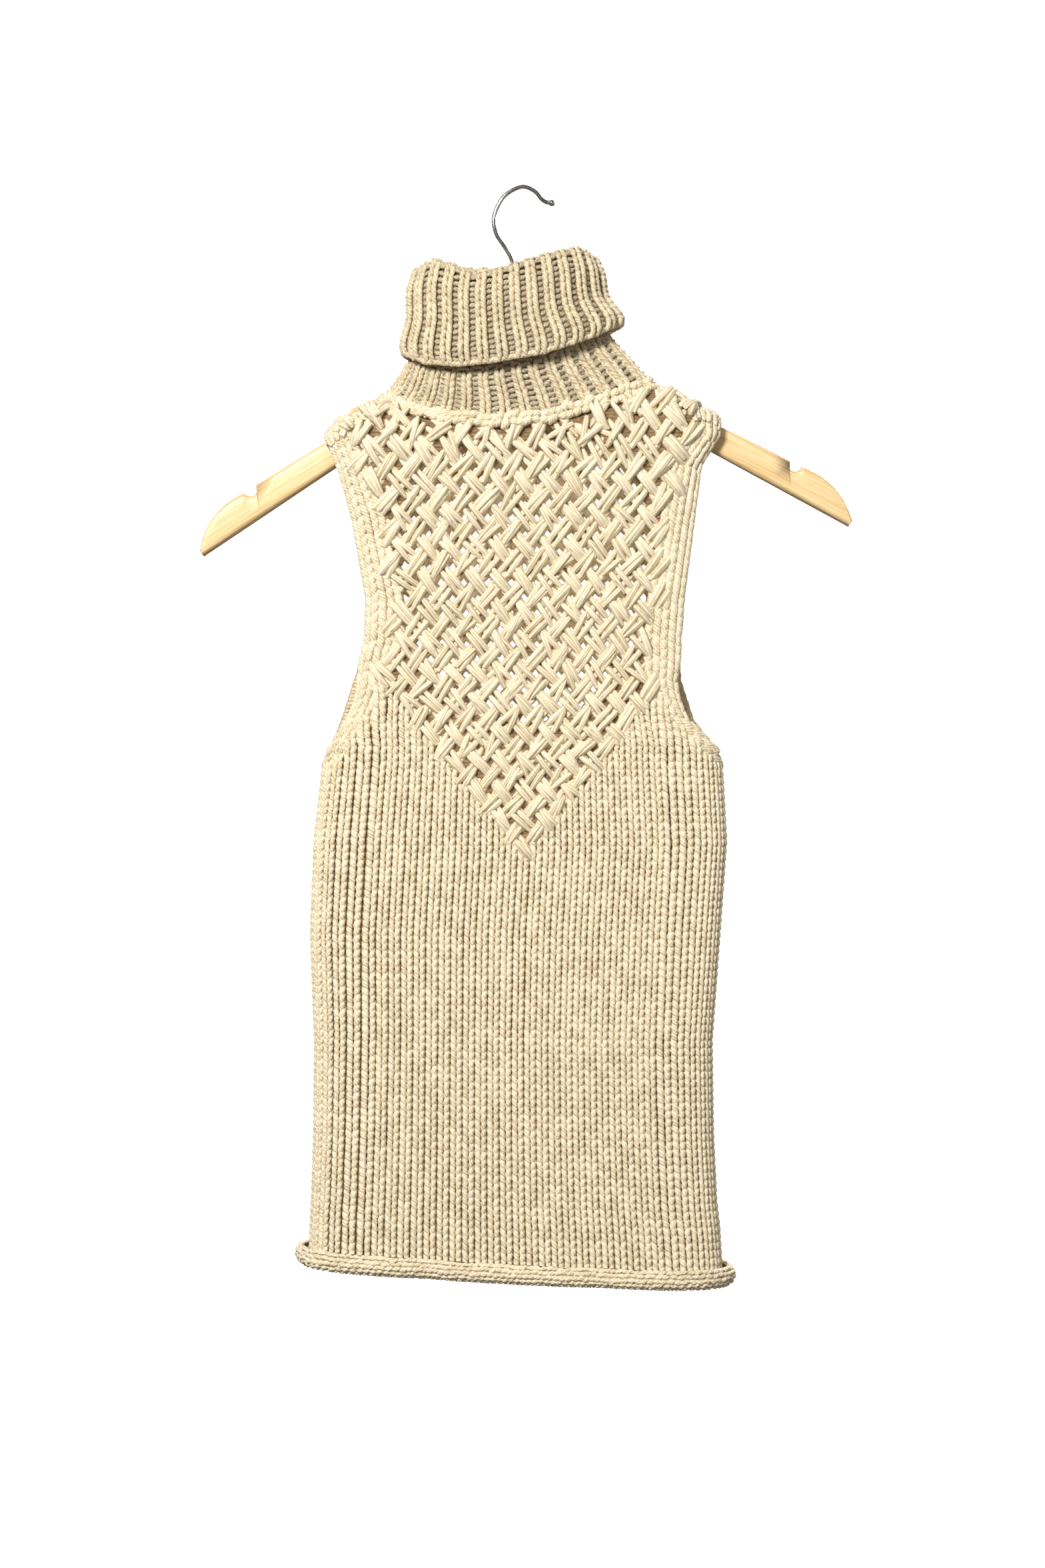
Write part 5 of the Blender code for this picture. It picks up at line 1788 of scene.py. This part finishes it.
# %% [markdown]
# ## The hook
#
# The hook is one bright steel wire, bent cold, with a small ball at its tip. A poly curve with a
# round bevel gives the wire, and its radius swells at the end into the ball. The curve becomes
# a mesh at once, so that nothing in the scene stays live.

# %% Hook
WIRE_RADIUS = 1.4
BALL_RADIUS = 2.2
STEM_X = -4.2
HOOK_ROUTE = (
    (STEM_X, -114.5), (STEM_X, -96.0), (-4.6, -75.0), (-6.0, -56.0), (-7.4, -48.0),
    (-12.2, -39.5), (-17.4, -31.4), (-19.4, -21.5), (-16.8, -12.2), (-10.8, -3.8), (0.0, 1.4),
    (8.6, -1.6), (13.6, -7.2), (16.6, -9.1), (18.3, -9.5),
)
HOOK_STEPS = 8
BALL_HEADING = math.radians(-8.0)
BALL_ANGLES = np.arange(40, 176, 9)
BALL_TIP = 0.05


def wire_points():
    """The wire's middle and its radius as a share, to the end of the ball."""
    route = [np.array(point) for point in HOOK_ROUTE]
    padded = [route[0], *route, route[-1]]
    points = []
    for a, b, c, d in zip(padded, padded[1:], padded[2:], padded[3:]):
        for t in np.arange(HOOK_STEPS) / HOOK_STEPS:
            bend = 2 * a - 5 * b + 4 * c - d
            place = 0.5 * (2 * b + (c - a) * t + bend * t**2 + (3 * b - a - 3 * c + d) * t**3)
            points.append((*place, 1.0))
    swell = BALL_RADIUS / WIRE_RADIUS
    for turn in np.radians(BALL_ANGLES):
        along = BALL_RADIUS * (1 - math.cos(turn))
        x = route[-1][0] + along * math.cos(BALL_HEADING)
        z = route[-1][1] + along * math.sin(BALL_HEADING)
        points.append((x, z, max(swell * math.sin(turn), BALL_TIP)))
    return points


print(f"the wire is drawn through {len(wire_points())} points")

# %% Steel
STEEL_STOPS = ((0.3, (0.40, 0.40, 0.42)), (0.7, (0.56, 0.56, 0.58)))


def steel_material():
    finish = Finish("bright steel wire")
    place = finish.add("ShaderNodeTexCoord").outputs["Object"]
    smudges = finish.pattern("ShaderNodeTexNoise", place, Scale=160.0, Detail=3.0)
    finish.links.new(finish.ramp(smudges, STEEL_STOPS), finish.shader.inputs["Base Color"])
    finish.shader.inputs["Metallic"].default_value = 1.0
    finish.roughen(smudges, low=0.1, high=0.24)
    return finish.made


steel = steel_material()
print(f"{steel.name}: {len(steel.node_tree.nodes)} nodes")

# %% Draw the hook
def steel_hook(name, material):
    curve = bpy.data.curves.new(name, "CURVE")
    curve.dimensions = "3D"
    curve.bevel_depth = WIRE_RADIUS * MM
    curve.bevel_resolution = 6
    curve.use_fill_caps = True
    spline = curve.splines.new("POLY")
    points = wire_points()
    spline.points.add(len(points) - 1)
    for spot, (x, z, radius) in zip(spline.points, points):
        spot.co = (x * MM, 0.0, z * MM, 1.0)
        spot.radius = radius
    drawn = bpy.data.objects.new(name + " line", curve)
    bpy.context.scene.collection.objects.link(drawn)
    held = drawn.evaluated_get(bpy.context.evaluated_depsgraph_get())
    mesh = bpy.data.meshes.new_from_object(held)
    bpy.data.objects.remove(drawn, do_unlink=True)
    bpy.data.curves.remove(curve)
    mesh.name = name
    mesh.materials.clear()
    mesh.materials.append(material)
    mesh.shade_smooth()
    made = bpy.data.objects.new(name, mesh)
    bpy.context.scene.collection.objects.link(made)
    print(f"{name}: {len(mesh.polygons)} faces")
    return made


wire_hook = steel_hook("wire_hook", steel)

# %% [markdown]
# ## What each piece is
#
# Every piece is fixed to the object's one body. The grounds, the bow and the wire stand for the
# plain CAD solids, which stay hidden underneath.

# %% Pieces fixed to the body
for side, word, piece in ((FRONT, "front", front_ground), (BACK, "back", back_ground)):
    stitches = [made for name, made in {**knitted, **edges}.items() if name.startswith(word)]
    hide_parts(f"{word}_panel")
    for made in (piece, *stitches):
        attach(made, "root")
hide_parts("collar")
for made in (collar_wall, edges["neck_seam_knots"], *collar_knit.values()):
    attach(made, "root")
for made, node_name, slot in ((wooden_bow, "hanger", "wood"), (wire_hook, "hook", "steel")):
    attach(made, "root")
    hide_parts(node_name)
dressed = [front_ground, back_ground, collar_wall, wooden_bow, wire_hook]
dressed += [*knitted.values(), *collar_knit.values(), *edges.values()]
print(f"declared: {len(dressed)} pieces")

# %% The last measures
visual_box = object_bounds()
sizes = {
    "cad": [list(corner) for corner in cad_box],
    "visual": [list(corner) for corner in visual_box],
}
for name, box in sizes.items():
    print(name, [[round(float(c) / MM, 1) for c in corner] for corner in box])
